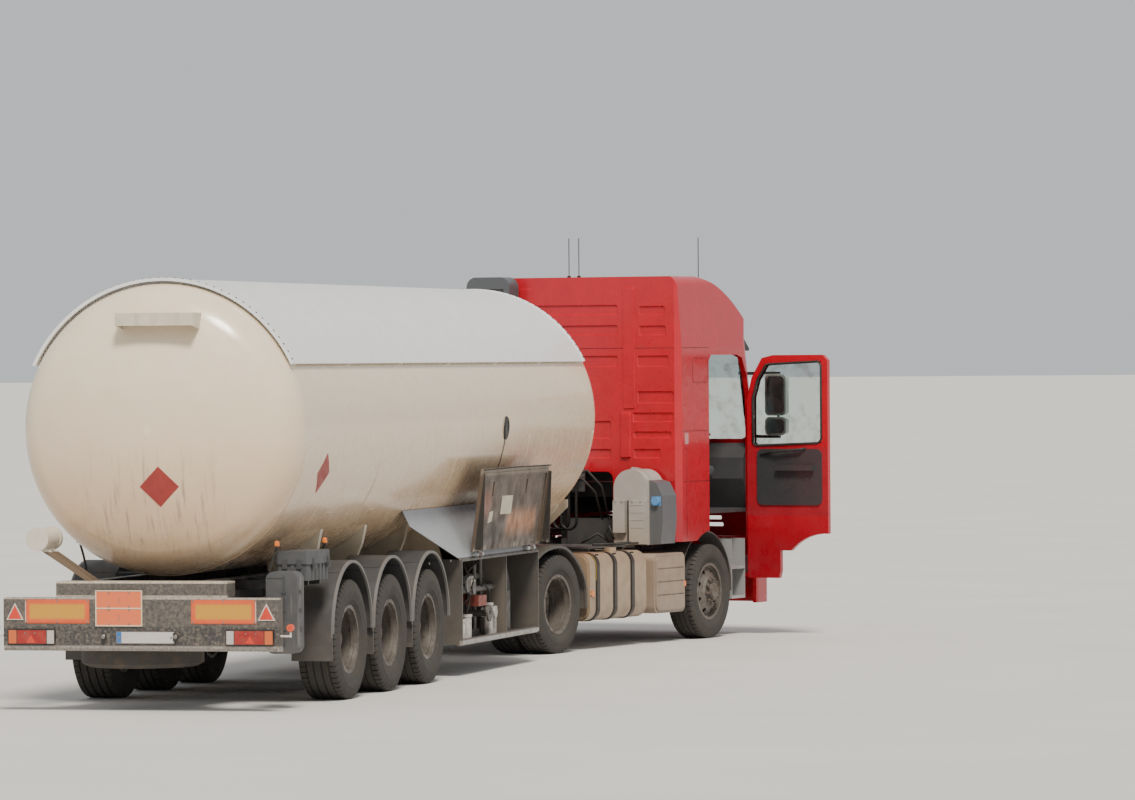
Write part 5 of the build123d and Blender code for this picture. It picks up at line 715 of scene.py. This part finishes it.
# Trailer: placards, edge clips, seams and small things of the tank
TANK_RADIUS = 1.275
TANK_HEIGHT = 2.430
TANK_REAR = -1.500
TANK_FRONT = 8.850
HEAD_DEPTH = 0.600
HEAD_KNUCKLE = 0.393
HEAD_SPREAD = HEAD_DEPTH**2 + (TANK_RADIUS - HEAD_KNUCKLE) ** 2 - HEAD_KNUCKLE**2
HEAD_CROWN = HEAD_SPREAD / (2 * (HEAD_DEPTH - HEAD_KNUCKLE))


def flank(x, height, out=0.0, side=-1):
    """A point on a flank of the tank: the right one, or the left one with side 1."""
    reach = TANK_RADIUS + out
    rise = height - TANK_HEIGHT
    return (x, side * sqrt(reach**2 - rise**2), height)


def rear_head(y, z, out=0.0):
    """A point on the crown of the rear head."""
    radius = HEAD_CROWN + out
    middle = TANK_REAR - HEAD_DEPTH + HEAD_CROWN
    return (middle - sqrt(radius**2 - y**2 - (z - TANK_HEIGHT) ** 2), y, z)


placard = paint("placard_red", (0.36, 0.035, 0.030), grain=12.0)


def decal(name, place_point, half=0.175, steps=6, thickness=0.002):
    """A diamond that follows a curved surface: place_point(u, v, out) gives its points."""
    shape = Shape()
    grid = {}
    for out in (0.0, thickness):
        for i in range(steps + 1):
            for j in range(steps + 1):
                p, q = i / steps - 0.5, j / steps - 0.5
                u, v = half * (p + q), half * (q - p)
                grid[i, j, out] = shape.ring([place_point(u, v, out)])[0]
    for i in range(steps):
        for j in range(steps):
            for out in (0.0, thickness):
                corners = ((i, j), (i + 1, j), (i + 1, j + 1), (i, j + 1))
                shape.form.faces.new([grid[(*corner, out)] for corner in corners])
    rim = [(i, 0) for i in range(steps)] + [(steps, j) for j in range(steps)]
    rim += [(i, steps) for i in range(steps, 0, -1)] + [(0, j) for j in range(steps, 0, -1)]
    for one, two in zip(rim, rim[1:] + rim[:1]):
        quad = ((*one, 0.0), (*two, 0.0), (*two, thickness), (*one, thickness))
        shape.form.faces.new([grid[corner] for corner in quad])
    shape.finish(name, "lamp_red", placard)


decal("rear_placard", lambda u, v, out: rear_head(-0.107 + u, 1.94 + v, 0.001 + out))
decal("side_placard_right", lambda u, v, out: flank(-0.79 + u, 2.03 + v, 0.001 + out))
decal("side_placard_left", lambda u, v, out: flank(-0.79 + u, 2.03 + v, 0.001 + out, 1))

black_trim = paint("black_trim", (0.018, 0.018, 0.018), soil=DUST)
SHIELD_OUT = TANK_RADIUS + 0.045
SHIELD_SHIFT = 0.060
CLIP_INSET = 0.023
EDGE_ANGLE = 0.45
CLIPS = 40
shape = Shape()
for clip in range(CLIPS):
    angle = EDGE_ANGLE + (pi - 2 * EDGE_ANGLE) * (clip + 0.5) / CLIPS
    out = (0.0, cos(angle), sin(angle))
    for x in (TANK_REAR - SHIELD_SHIFT - CLIP_INSET, TANK_FRONT - SHIELD_SHIFT + CLIP_INSET):
        shape.bolt((x, SHIELD_OUT * out[1], TANK_HEIGHT + SHIELD_OUT * out[2]), out, 0.007, 0.006)
shape.finish("shield_clips", "shield_white", black_trim)

# Oval vent on the right flank, with the thin line that runs down from it
VENT_X, VENT_HEIGHT, VENT_HALF = 5.29, 2.35, (0.082, 0.115)
VENT_STEPS = ((1.0, -0.002), (1.0, 0.010), (0.92, 0.018), (0.70, 0.019), (0.66, 0.012))
VENT_SIDES = 24
oval = []
for k in range(VENT_SIDES):
    angle = 2 * pi * k / VENT_SIDES
    oval.append((VENT_HALF[0] * cos(angle), VENT_HALF[1] * sin(angle)))
shape = Shape()
rings = []
for share, out in VENT_STEPS:
    rings.append([flank(VENT_X + share * u, VENT_HEIGHT + share * v, out) for u, v in oval])
shape.skin(rings)
shape.tube([flank(VENT_X - 0.02 * k / 6, 2.31 - 0.11 * k, 0.004) for k in range(7)], 0.004, 6)
shape.finish("flank_vent", "tank_cream", black_trim)


PILLOW_ROWS, PILLOW_SIDES = 20, 36


def bow(value, share):
    """A signed power, which rounds or squares a circle."""
    return abs(value) ** share * (1 if value >= 0 else -1)


def pillow(name, low, high, material, lean=0.0, power=0.42, channels=0):
    """A crowned cushion between two corners, leaning along X with height, with sewn channels across."""
    shape = Shape("tractor")
    middle = [(a + b) / 2 for a, b in zip(low, high)]
    half = [(b - a) / 2 for a, b in zip(low, high)]
    rings = []
    for k in range(1, PILLOW_ROWS):
        rise = -pi / 2 + pi * k / PILLOW_ROWS
        flat = bow(cos(rise), power)
        z = half[2] * bow(sin(rise), power)
        groove = 1.0
        if channels:
            groove -= 0.035 * (1.0 + cos(pi * channels * (z / half[2] + 1)))
        ring = []
        for i in range(PILLOW_SIDES):
            angle = 2 * pi * i / PILLOW_SIDES
            x = half[0] * flat * bow(cos(angle), power) * groove
            y = half[1] * flat * bow(sin(angle), power)
            ring.append((middle[0] + x - lean * z, middle[1] + y, middle[2] + z))
        rings.append(ring)
    shape.skin(rings)
    thing = shape.finish(name, "seat_fabric", material, smooth=True, replaces=("seats",))


# Rear: triangles of the boards and lamps, end lamps, and screws of boards, lamps and plates
REAR = -2.270
FORWARD, BACKWARD, RIGHTWARD, UPWARD = (1, 0, 0), (-1, 0, 0), (0, -1, 0), (0, 0, 1)
END_LAMP = ((0.0, 0.012), (0.004, 0.031), (0.040, 0.0315), (0.044, 0.012))
rear_red = paint("triangle_red", (0.72, 0.055, 0.03), dirt=0.15, rough=(0.25, 0.4))
steel = paint("small_steel", (0.34, 0.31, 0.28), dirt=0.4, metal=0.7, rough=(0.3, 0.5))
amber = paint("amber_lens", (0.80, 0.20, 0.02), dirt=0.2, rough=(0.15, 0.3), coat=0.5)
rubber = paint("black_rubber", (0.020, 0.019, 0.018), dirt=0.4, soil=BROWN_DUST, rough=(0.6, 0.8))
shape = Shape()
for side in (-1, 1):
    on_board = [(side * 1.072, 0.806), (side * 1.196, 0.806), (side * 1.134, 0.924)]
    shape.prism(on_board, REAR - 0.0095, REAR - 0.0078)
    shape.lathe((REAR + 0.038, side * 1.33, 0.735), FORWARD, END_LAMP, 20)
    on_lamp = [(side * 0.945, 0.600), (side * 1.030, 0.600), (side * 0.9875, 0.668)]
    shape.prism(on_lamp, REAR - 0.0165, REAR - 0.0138)
shape.finish("rear_triangles", "lamp_red", rear_red)

shape = Shape()
for side in (-1, 1):
    for y in (0.475, 0.751, 1.028):
        for z in (0.780, 0.962):
            shape.bolt((REAR - 0.006, side * y, z), BACKWARD, 0.006, 0.005)
    for y in (0.95, 1.04):
        shape.lathe((REAR - 0.014, side * y, 0.683), BACKWARD, ((0.0, 0.008), (0.004, 0.006)), 10)
    shape.lathe((REAR - 0.036, side * 0.325, 0.657), BACKWARD, ((0.0, 0.018), (0.003, 0.014)), 16)
for y in (0.10, 0.28):
    for z in (0.765, 0.885, 0.915, 1.030):
        shape.bolt((REAR - 0.010, y, z), BACKWARD, 0.005, 0.004)
for z in (0.79, 0.94):
    shape.slab((REAR - 0.0105, 0.187, z), (REAR - 0.009, 0.192, z + 0.055))
for y in (-0.28, 0.185):
    shape.bolt((REAR - 0.010, y, 0.648), BACKWARD, 0.006, 0.004)
shape.finish("rear_screws", "bumper_grey", steel)

shape = Shape()
for y in (-1.16, -0.79, -0.35, 0.48, 0.86, 1.16):
    shape.bolt((REAR - 0.001, y, 0.552), BACKWARD, 0.008, 0.007)
for y in (-0.35, 0.48):
    shape.bolt((REAR + 0.129, y, 1.045), BACKWARD, 0.008, 0.007)
shape.finish("bumper_bolts", "bumper_grey", steel)

# Rear right: latches of the toolbox's lid, then the band, latches and seam of the bottle box
box_dark = paint("box_dark", (0.060, 0.062, 0.066), soil=BROWN_DUST, rough=(0.5, 0.7))
shape = Shape()
for x in (-1.235, -0.790):
    shape.slab((x, -1.253, 1.205), (x + 0.045, -1.238, 1.300), 0.004)
    shape.slab((x + 0.008, -1.260, 1.215), (x + 0.037, -1.250, 1.262), 0.004)
for y in (-1.16, -1.03):
    shape.slab((-1.312, y, 1.205), (-1.302, y + 0.045, 1.290), 0.004)
shape.slab((-1.797, -1.153, 0.560), (-1.788, -1.137, 1.165), 0.004)
for z in (0.690, 0.850, 1.010):
    shape.slab((-1.801, -1.163, z), (-1.790, -1.127, z + 0.030), 0.004)
    shape.slab((-1.720, -1.273, z), (-1.660, -1.262, z + 0.030), 0.004)
shape.slab((-1.7935, -1.137, 1.140), (-1.788, -0.992, 1.149), 0.002)
shape.finish("box_fittings", "box_plastic", box_dark, bevel=0.001)

# Marker lamps on arms: forward place, the foot's place sideways and height, the lamp's place sideways.
# Two small lamps low on the left side have no arms.
MARKERS = ((-1.72, -1.000, 1.195, -1.065), (-0.75, -1.190, 1.360, -1.208), (-0.30, 1.150, 1.158, 1.212))
MARKER_TOP = 1.41
MARKER_LENS = ((0.0, 0.022), (0.012, 0.024), (0.040, 0.020), (0.048, 0.010))
shape = Shape()
for x, foot_y, foot, y in MARKERS:
    bend = (x, 0.6 * foot_y + 0.4 * y, 0.5 * (foot + MARKER_TOP))
    shape.tube([(x, foot_y, foot), bend, (x, y, MARKER_TOP)], 0.011)
    shape.slab((x - 0.03, y - 0.022, 1.402), (x + 0.03, y + 0.022, 1.416), 0.004)
shape.finish("marker_arms", "mudguard_plastic", rubber)
shape = Shape()
for x, foot_y, foot, y in MARKERS:
    shape.lathe((x, y, 1.416), UPWARD, MARKER_LENS)
for x in (3.80, 5.20):
    shape.slab((x - 0.045, 1.241, 0.352), (x + 0.045, 1.253, 0.382), 0.004)
shape.finish("marker_lenses", "lamp_red", amber, bevel=0.002)

# Tank: weld rings round its lower half, and short curved weld marks by the saddles
weld = paint(
    "weld_cream", (0.66, 0.58, 0.46), dirt=0.15, rough=(0.3, 0.45), coat=0.3,
    # The welds take the tank's painted ground reflection, a warm tan towards the bottom
    fades=((GROUND_BOUNCE_TAN, "z", 2.9, 1.35, 0.8),),
)
RING_END = 0.12
RING_STEPS = 96
RING_REACH = TANK_RADIUS + 0.0006
MARK_STEPS = 8
shape = Shape()
for x in (-1.497, 0.98, 3.62, 6.25, 8.845):
    ring = []
    for i in range(RING_STEPS + 1):
        angle = -RING_END - (pi - 2 * RING_END) * i / RING_STEPS
        ring.append((x, RING_REACH * cos(angle), TANK_HEIGHT + RING_REACH * sin(angle)))
    shape.tube(ring, 0.0035, 6)
for side in (-1, 1):
    for x in (0.13, 1.49, 2.90):
        arc = []
        for i in range(MARK_STEPS + 1):
            angle = -0.9 + 1.6 * i / MARK_STEPS
            arc.append(flank(x + 0.15 * sin(angle), 1.665 - 0.05 * (1 - cos(angle)), 0.002, side))
        shape.tube(arc, 0.008, 6)
shape.finish("tank_welds", "tank_cream", weld, smooth=True)

# Flap: blank label, blank mark, edge trim and bolts, in the flap's own frame
label = paint("label_cream", (0.62, 0.55, 0.42), dirt=0.25, rough=(0.4, 0.6))
shape = Shape("flap")
shape.prism([(4.86, 0.375), (5.26, 0.372), (5.262, 0.552), (4.862, 0.555)], -0.0115, -0.0088, "y")
shape.prism([(4.43, 0.30), (4.56, 0.315), (4.575, 0.415), (4.45, 0.405)], -0.0112, -0.0088, "y")
shape.finish("flap_labels", "flap_steel", label)
shape = Shape("flap")
shape.tube([(4.0, -0.026, 0.826), (5.27, -0.026, 0.832), (6.55, -0.026, 0.826)], 0.007)
for x in (4.25, 4.33, 6.22, 6.30):
    shape.bolt((x, -0.0088, 0.062), RIGHTWARD, 0.008, 0.007)
shape.finish("flap_trim", "flap_steel", rubber, smooth=True)

# Pump bay: hoses and wires, each with its radius and points, then dials and bolts
BAY_HOSES = (
    (0.011, (4.12, -1.10, 0.535), (4.13, -1.13, 0.66), (4.06, -1.10, 0.78), (3.96, -1.02, 0.90)),
    (0.009, (4.33, -1.12, 0.575), (4.36, -1.14, 0.68), (4.44, -1.12, 0.76), (4.60, -1.10, 0.73)),
    (
        0.007, (4.20, -1.12, 1.09), (4.24, -1.16, 0.96), (4.34, -1.15, 0.84),
        (4.31, -1.14, 0.72), (4.22, -1.10, 0.66),
    ),
    (0.010, (3.86, -1.10, 0.61), (3.90, -1.14, 0.74), (3.84, -1.12, 0.92), (3.90, -1.02, 1.09)),
    (0.012, (4.70, -1.00, 0.93), (4.74, -1.05, 1.00), (4.90, -1.06, 1.04), (5.05, -1.02, 1.09)),
    (0.009, (5.15, -1.12, 0.655), (5.12, -1.14, 0.76), (5.02, -1.12, 0.84), (4.86, -1.08, 0.80)),
)
shape = Shape()
shape.tubes(BAY_HOSES)
shape.finish("bay_hoses", "pump_steel", rubber, smooth=True)
shape = Shape()
DIALS = ((4.02, -1.118, 0.90, 0.045), (4.66, -1.075, 0.86, 0.035), (4.76, -1.075, 0.86, 0.035))
for x, y, z, radius in DIALS:
    dial = ((-0.03, radius), (0.010, radius), (0.014, 0.88 * radius), (0.015, 0.2 * radius))
    shape.lathe((x, y, z), RIGHTWARD, dial, 20)
shape.finish("bay_dials", "pump_steel", label)
shape = Shape()
for x in (2.60, 2.98, 3.36, 3.68):
    shape.bolt((x, -1.232, 1.118), (0, -1, 0.2), 0.008, 0.006)
shape.finish("bay_bolts", "cabinet_grey", steel)

# Left locker: a latch on each of its three doors
LOCKER_X, LOCKER_LENGTH, LOCKER_DOORS = 3.74, 1.49, 3
shape = Shape()
for door in range(LOCKER_DOORS):
    x = LOCKER_X + door * LOCKER_LENGTH / LOCKER_DOORS + 0.23
    shape.lathe((x, 1.2665, 1.005), (0, 1, 0), ((-0.002, 0.030), (0.004, 0.030), (0.010, 0.020)))
shape.finish("locker_latches", "locker_grey", steel)

# Tractor: side lamps, bolts of the fuel tank's straps, and screws of the side box
shape = Shape("tractor")
for x, z in ((0.755, 0.585), (2.925, 0.615)):
    shape.slab((x - 0.032, -1.236, z - 0.030), (x + 0.032, -1.218, z + 0.030), 0.006)
shape.finish("tractor_side_lamps", "fuel_aluminium", amber, bevel=0.004)
shape = Shape("tractor")
for x in STRAPS:
    shape.tube([(x - 0.03, -1.21, 0.985), (x + 0.03, -1.21, 0.985)], 0.009)
    shape.bolt((x, -1.2215, 0.42), RIGHTWARD, 0.009, 0.008)
for x in (2.27, 2.86):
    for z in (0.40, 0.82):
        shape.slab((x - 0.010, -1.2245, z - 0.022), (x + 0.010, -1.2185, z + 0.022), 0.003)
shape.finish("tractor_side_screws", "side_box_grey", rubber)

# Work lamp on the hose stand: a lit lens of four sources, its bezel, its wire, and the hoses on the stand
STAND, LAMP_HEIGHT, SOURCE = 2.500, 1.48, 0.021
BEZEL = ((-0.004, 0.059), (0.006, 0.062), (0.012, 0.060), (0.0125, 0.053), (0.002, 0.050))
lamp_tree = Tree("lit_lens", "tractor")
sources = lamp_tree.node("TexVoronoi", Vector=lamp_tree.at, Scale=26.0)
glow = lamp_tree.span(sources.outputs["Distance"], 0.0, 0.8, 1.0, 0.25)
tint = lamp_tree.mix(glow, (0.55, 0.95, 0.20), (1.0, 1.0, 0.62))
brightness = lamp_tree.math("MULTIPLY", glow, 26.0)
lit = lamp_tree.principled(Base_Color=tint, Emission_Color=tint, Emission_Strength=brightness, Roughness=0.15)
shape = Shape("tractor")
for y in (SOURCE, -SOURCE):
    for z in (SOURCE, -SOURCE):
        source = ((0.0, 0.019), (0.006, 0.017), (0.010, 0.009))
        shape.lathe((STAND - 0.0555, y, LAMP_HEIGHT + z), BACKWARD, source, 20)
shape.finish("work_lens", "catwalk_steel", lit, smooth=True)
shape = Shape("tractor")
shape.lathe((STAND - 0.054, 0, LAMP_HEIGHT), BACKWARD, BEZEL, 28)
shape.tube([(STAND, 0.03, 1.50), (STAND + 0.02, 0.06, 1.58), (STAND + 0.03, 0.05, 1.66)], 0.006)
for y0, y1, z, sag in ((-0.20, -0.44, 1.78, 0.05), (-0.16, -0.36, 1.72, 0.02), (0.18, 0.34, 1.75, 0.03)):
    over = [(STAND - 0.03, y0, z), (STAND - 0.06, (y0 + y1) / 2, z + sag)]
    down = [(STAND + 0.04, y1, z - 0.12), (STAND + 0.22, y1, 1.30)]
    shape.tube(over + down, 0.013)
shape.finish("lamp_bezel", "catwalk_steel", rubber, smooth=True)

# Air cleaner: ribs, clips and pipe to the cab, then drain hoses and lines along the fuel tank
CLEANER_HOSES = (
    (0.016, (2.36, -0.62, 1.06), (2.30, -0.60, 1.14), (2.27, -0.66, 1.24), (2.31, -0.70, 1.10)),
    (0.014, (2.44, -0.60, 1.06), (2.36, -0.48, 1.16), (2.30, -0.40, 1.10), (2.34, -0.30, 1.06)),
    (0.014, (2.30, -0.90, 1.065), (2.10, -0.98, 1.075), (1.86, -0.92, 1.065), (1.50, -0.86, 1.070)),
    (0.010, (2.28, -1.00, 1.065), (2.00, -1.05, 1.073), (1.70, -1.02, 1.066)),
)
intake_grey = paint("intake_grey", (0.40, 0.39, 0.37), place="tractor", dirt=0.25, rough=(0.4, 0.55))
shape = Shape("tractor")
for z in (1.22, 1.30, 1.38, 1.46):
    shape.slab((2.342, -1.030, z), (2.346, -0.880, z + 0.010), 0.002)
for y in (-1.00, -0.90, -0.78, -0.70):
    shape.slab((2.338, y - 0.012, 1.495), (2.350, y + 0.012, 1.525), 0.004)
shape.tube([(2.55, -0.86, 1.842), (2.55, -0.80, 1.852), (2.70, -0.80, 1.845)], 0.010)
shape.finish("cleaner_ribs", "intake_plastic", intake_grey, bevel=0.001)
shape = Shape("tractor")
shape.tubes(CLEANER_HOSES)
shape.finish("cleaner_hoses", "intake_plastic", rubber, smooth=True)

# Cab: seams across the rear wall and on the sides, hatch outlines, and blank labels
CAB_REAR, CAB_HALF, SEAM = 2.860, 1.220, 0.0028
HATCH = (
    (3.20, 2.76), (3.545, 2.76), (3.56, 2.78), (3.56, 2.98),
    (3.53, 3.02), (3.22, 3.02), (3.185, 2.98), (3.185, 2.78),
)
seam = paint("seam_dark", (0.10, 0.004, 0.008), place="tractor", dirt=0.1, rough=(0.5, 0.7))
shape = Shape("tractor")
for z in (3.130, 1.700):
    shape.tube([(CAB_REAR - 0.0002, share * (CAB_HALF - 0.062), z) for share in (-1, 0, 1)], SEAM, 6)
for side in (-1, 1):
    y = side * (CAB_HALF + 0.0002)
    for z in (3.130, 2.240, 1.700):
        shape.tube([(CAB_REAR + back, y, z) for back in (0.062, 0.35, 0.715)], SEAM, 6)
    shape.tube([(x, y, z) for x, z in (*HATCH, HATCH[0])], 0.0032, 6)
    shape.tube([(3.02, y, 2.245), (3.02, y, 1.10)], SEAM, 6)
shape.finish("cab_seams", "cab_red", seam, smooth=True)
pink = paint("label_pink", (0.62, 0.30, 0.30), place="tractor", dirt=0.15)
shape = Shape("tractor")
for side in (-1, 1):
    ends = sorted((side * (CAB_HALF - 0.001), side * (CAB_HALF + 0.002)))
    shape.prism([(2.985, 2.10), (3.065, 2.10), (3.065, 2.22), (2.985, 2.22)], *ends, "y")
shape.finish("cab_labels", "cab_red", pink)

# Doors: window seals on both faces, the inner grab rail, handles and locks
WINDOW = ((4.525, 2.060), (4.525, 2.580), (4.465, 2.780), (4.355, 2.945), (3.670, 2.975), (3.670, 2.090))
RAIL = ((3.86, 1.158, 2.03), (3.90, 1.120, 2.02), (4.20, 1.110, 2.00), (4.42, 1.150, 1.96))
HANDLE = ((3.665, 1.905), (3.835, 1.905), (3.845, 1.915), (3.845, 1.928), (3.655, 1.928), (3.655, 1.915))
LOCK = ((-0.002, 0.014), (0.004, 0.014), (0.005, 0.008))
for side, word in ((1, "left"), (-1, "right")):
    shape = Shape("door_" + word)
    for y in (CAB_HALF, CAB_HALF - 0.055):
        loop = []
        for (x0, z0), (x1, z1) in zip(WINDOW, (*WINDOW[1:], WINDOW[0])):
            for share in (0.05, 0.5, 0.95):
                loop.append((x0 + share * (x1 - x0), side * y, z0 + share * (z1 - z0)))
        shape.tube(loop + loop[:1], 0.013)
    shape.tube([(x, side * y, z) for x, y, z in RAIL], 0.014)
    shape.finish("door_seals_" + word, "door_red", rubber, smooth=True)
    shape = Shape("door_" + word)
    ends = sorted((side * (CAB_HALF + 0.012), side * (CAB_HALF + 0.034)))
    shape.prism(HANDLE, *ends, "y")
    shape.lathe((3.90, side * CAB_HALF, 1.920), (0, side, 0), LOCK)
    shape.finish("door_handle_" + word, "door_red", rubber, bevel=0.003)

# Mirrors: two reflecting faces towards the rear on each side
t = Tree("mirror_face", "tractor")
silver = t.mix(t.span(t.noise(9.0), 0.3, 0.7), (0.74, 0.79, 0.80), (0.66, 0.71, 0.73))
mirror = t.principled(Base_Color=silver, Metallic=0.9, Roughness=0.14)
shape = Shape("tractor")
for side in (-1, 1):
    y0, y1 = sorted((side * 1.385, side * 1.595))
    for low, high in ((2.190, 2.350), (2.405, 2.815)):
        shape.slab((4.6885, y0, low), (4.6905, y1, high), 0.03)
shape.finish("mirror_faces", "mirror_plastic", mirror)

# Front: wipers and headlamp lenses
HEADLAMP = ((0.0, 0.076), (0.001, 0.072), (0.004, 0.050), (0.0055, 0.024), (0.006, 0.006))
shape = Shape("tractor")
for y in (-0.55, 0.10, 0.75):
    shape.tube([(5.010, y, 2.165), (4.995, y + 0.10, 2.30), (4.955, y + 0.28, 2.52)], 0.009)
    shape.tube([(4.960, y + 0.02, 2.50), (4.957, y + 0.30, 2.535), (4.955, y + 0.56, 2.52)], 0.008)
shape.finish("wipers", "mirror_plastic", rubber, smooth=True)
lens = paint(
    "lamp_lens", (0.62, 0.64, 0.66), place="tractor", dirt=0.1, rough=(0.06, 0.12), coat=0.9, metal=0.3,
)
shape = Shape("tractor")
for side in (-1, 1):
    for y in (0.820, 1.010):
        shape.lathe((5.130, side * y, 0.735), FORWARD, HEADLAMP, 28)
shape.finish("headlamp_lenses", "cab_red", lens, smooth=True)

# Seats on their bellows, and the bunk
CLOTH = dict(place="tractor", dirt=0.1, rough=(0.85, 0.95), fine=0.6, grain=60.0)
fabric = paint("seat_cloth", (0.060, 0.064, 0.078), (0.045, 0.048, 0.060), **CLOTH)
quilt = paint("bunk_cloth", (0.16, 0.16, 0.175), **CLOTH)
FLOOR_TOP, SEAT_Y, SEAT_LEAN = 1.380, 0.760, 0.10 / 0.70
FOLDS, FOLD = 7, 0.048
for side, word in ((1, "left"), (-1, "right")):
    y = side * SEAT_Y
    back_low, back_high = (3.640, y - 0.235, 1.862), (3.755, y + 0.235, 2.365)
    pillow("cushion_" + word, (3.690, y - 0.255, 1.725), (4.225, y + 0.255, 1.858), fabric)
    pillow("backrest_" + word, back_low, back_high, fabric, lean=SEAT_LEAN, channels=5)
    pillow("headrest_" + word, (3.605, y - 0.150, 2.375), (3.700, y + 0.150, 2.552), fabric, lean=SEAT_LEAN)
    shape = Shape("tractor")
    for k in range(FOLDS):
        z = FLOOR_TOP + k * FOLD
        inset = 0.006 if k % 2 else 0.020
        half = 0.180 - inset
        shape.slab((3.800 + inset, y - half, z), (4.150 - inset, y + half, z + FOLD), 0.012)
    shape.slab((3.72, y - 0.20, 1.712), (4.19, y + 0.20, 1.735), 0.008)
    shape.finish("seat_base_" + word, "interior_grey", rubber)
pillow("bunk_mattress", (2.920, -1.158, 1.902), (3.555, 1.158, 2.028), quilt, power=0.30)


# Studio: a pale floor, an even sky and one large soft light from behind
def make_floor():
    """A wide round floor with fine grain."""
    mesh = bpy.data.meshes.new("studio_floor")
    form = bmesh.new()
    bmesh.ops.create_circle(form, cap_ends=True, radius=900.0, segments=96)
    form.to_mesh(mesh)
    form.free()
    floor = add("studio_floor", mesh)
    t = Tree("studio_floor", "trailer")
    tone = t.mix(t.span(t.noise(0.4, 6.0), 0.3, 0.7), (0.62, 0.61, 0.59), (0.66, 0.65, 0.63))
    grain = t.bump(t.noise(40.0), 0.05)
    floor.data.materials.append(t.principled(Base_Color=tone, Roughness=0.9, Normal=grain))


def make_light():
    """The world's even light, and the large soft lamp."""
    world = bpy.data.worlds.new("studio")
    bpy.context.scene.world = world
    world.use_nodes = True
    back = world.node_tree.nodes["Background"]
    back.inputs["Color"].default_value = (0.84, 0.86, 0.88, 1.0)
    back.inputs["Strength"].default_value = 0.75
    data = bpy.data.lights.new("soft_sun", "SUN")
    data.energy = 4.0
    data.angle = radians(14.0)
    data.color = (1.0, 0.93, 0.82)
    lamp = add("soft_sun", data)
    source = Vector((-0.66, -0.30, 1.0))
    lamp.matrix_world = source.to_track_quat("Z", "Y").to_matrix().to_4x4()


make_floor()
make_light()
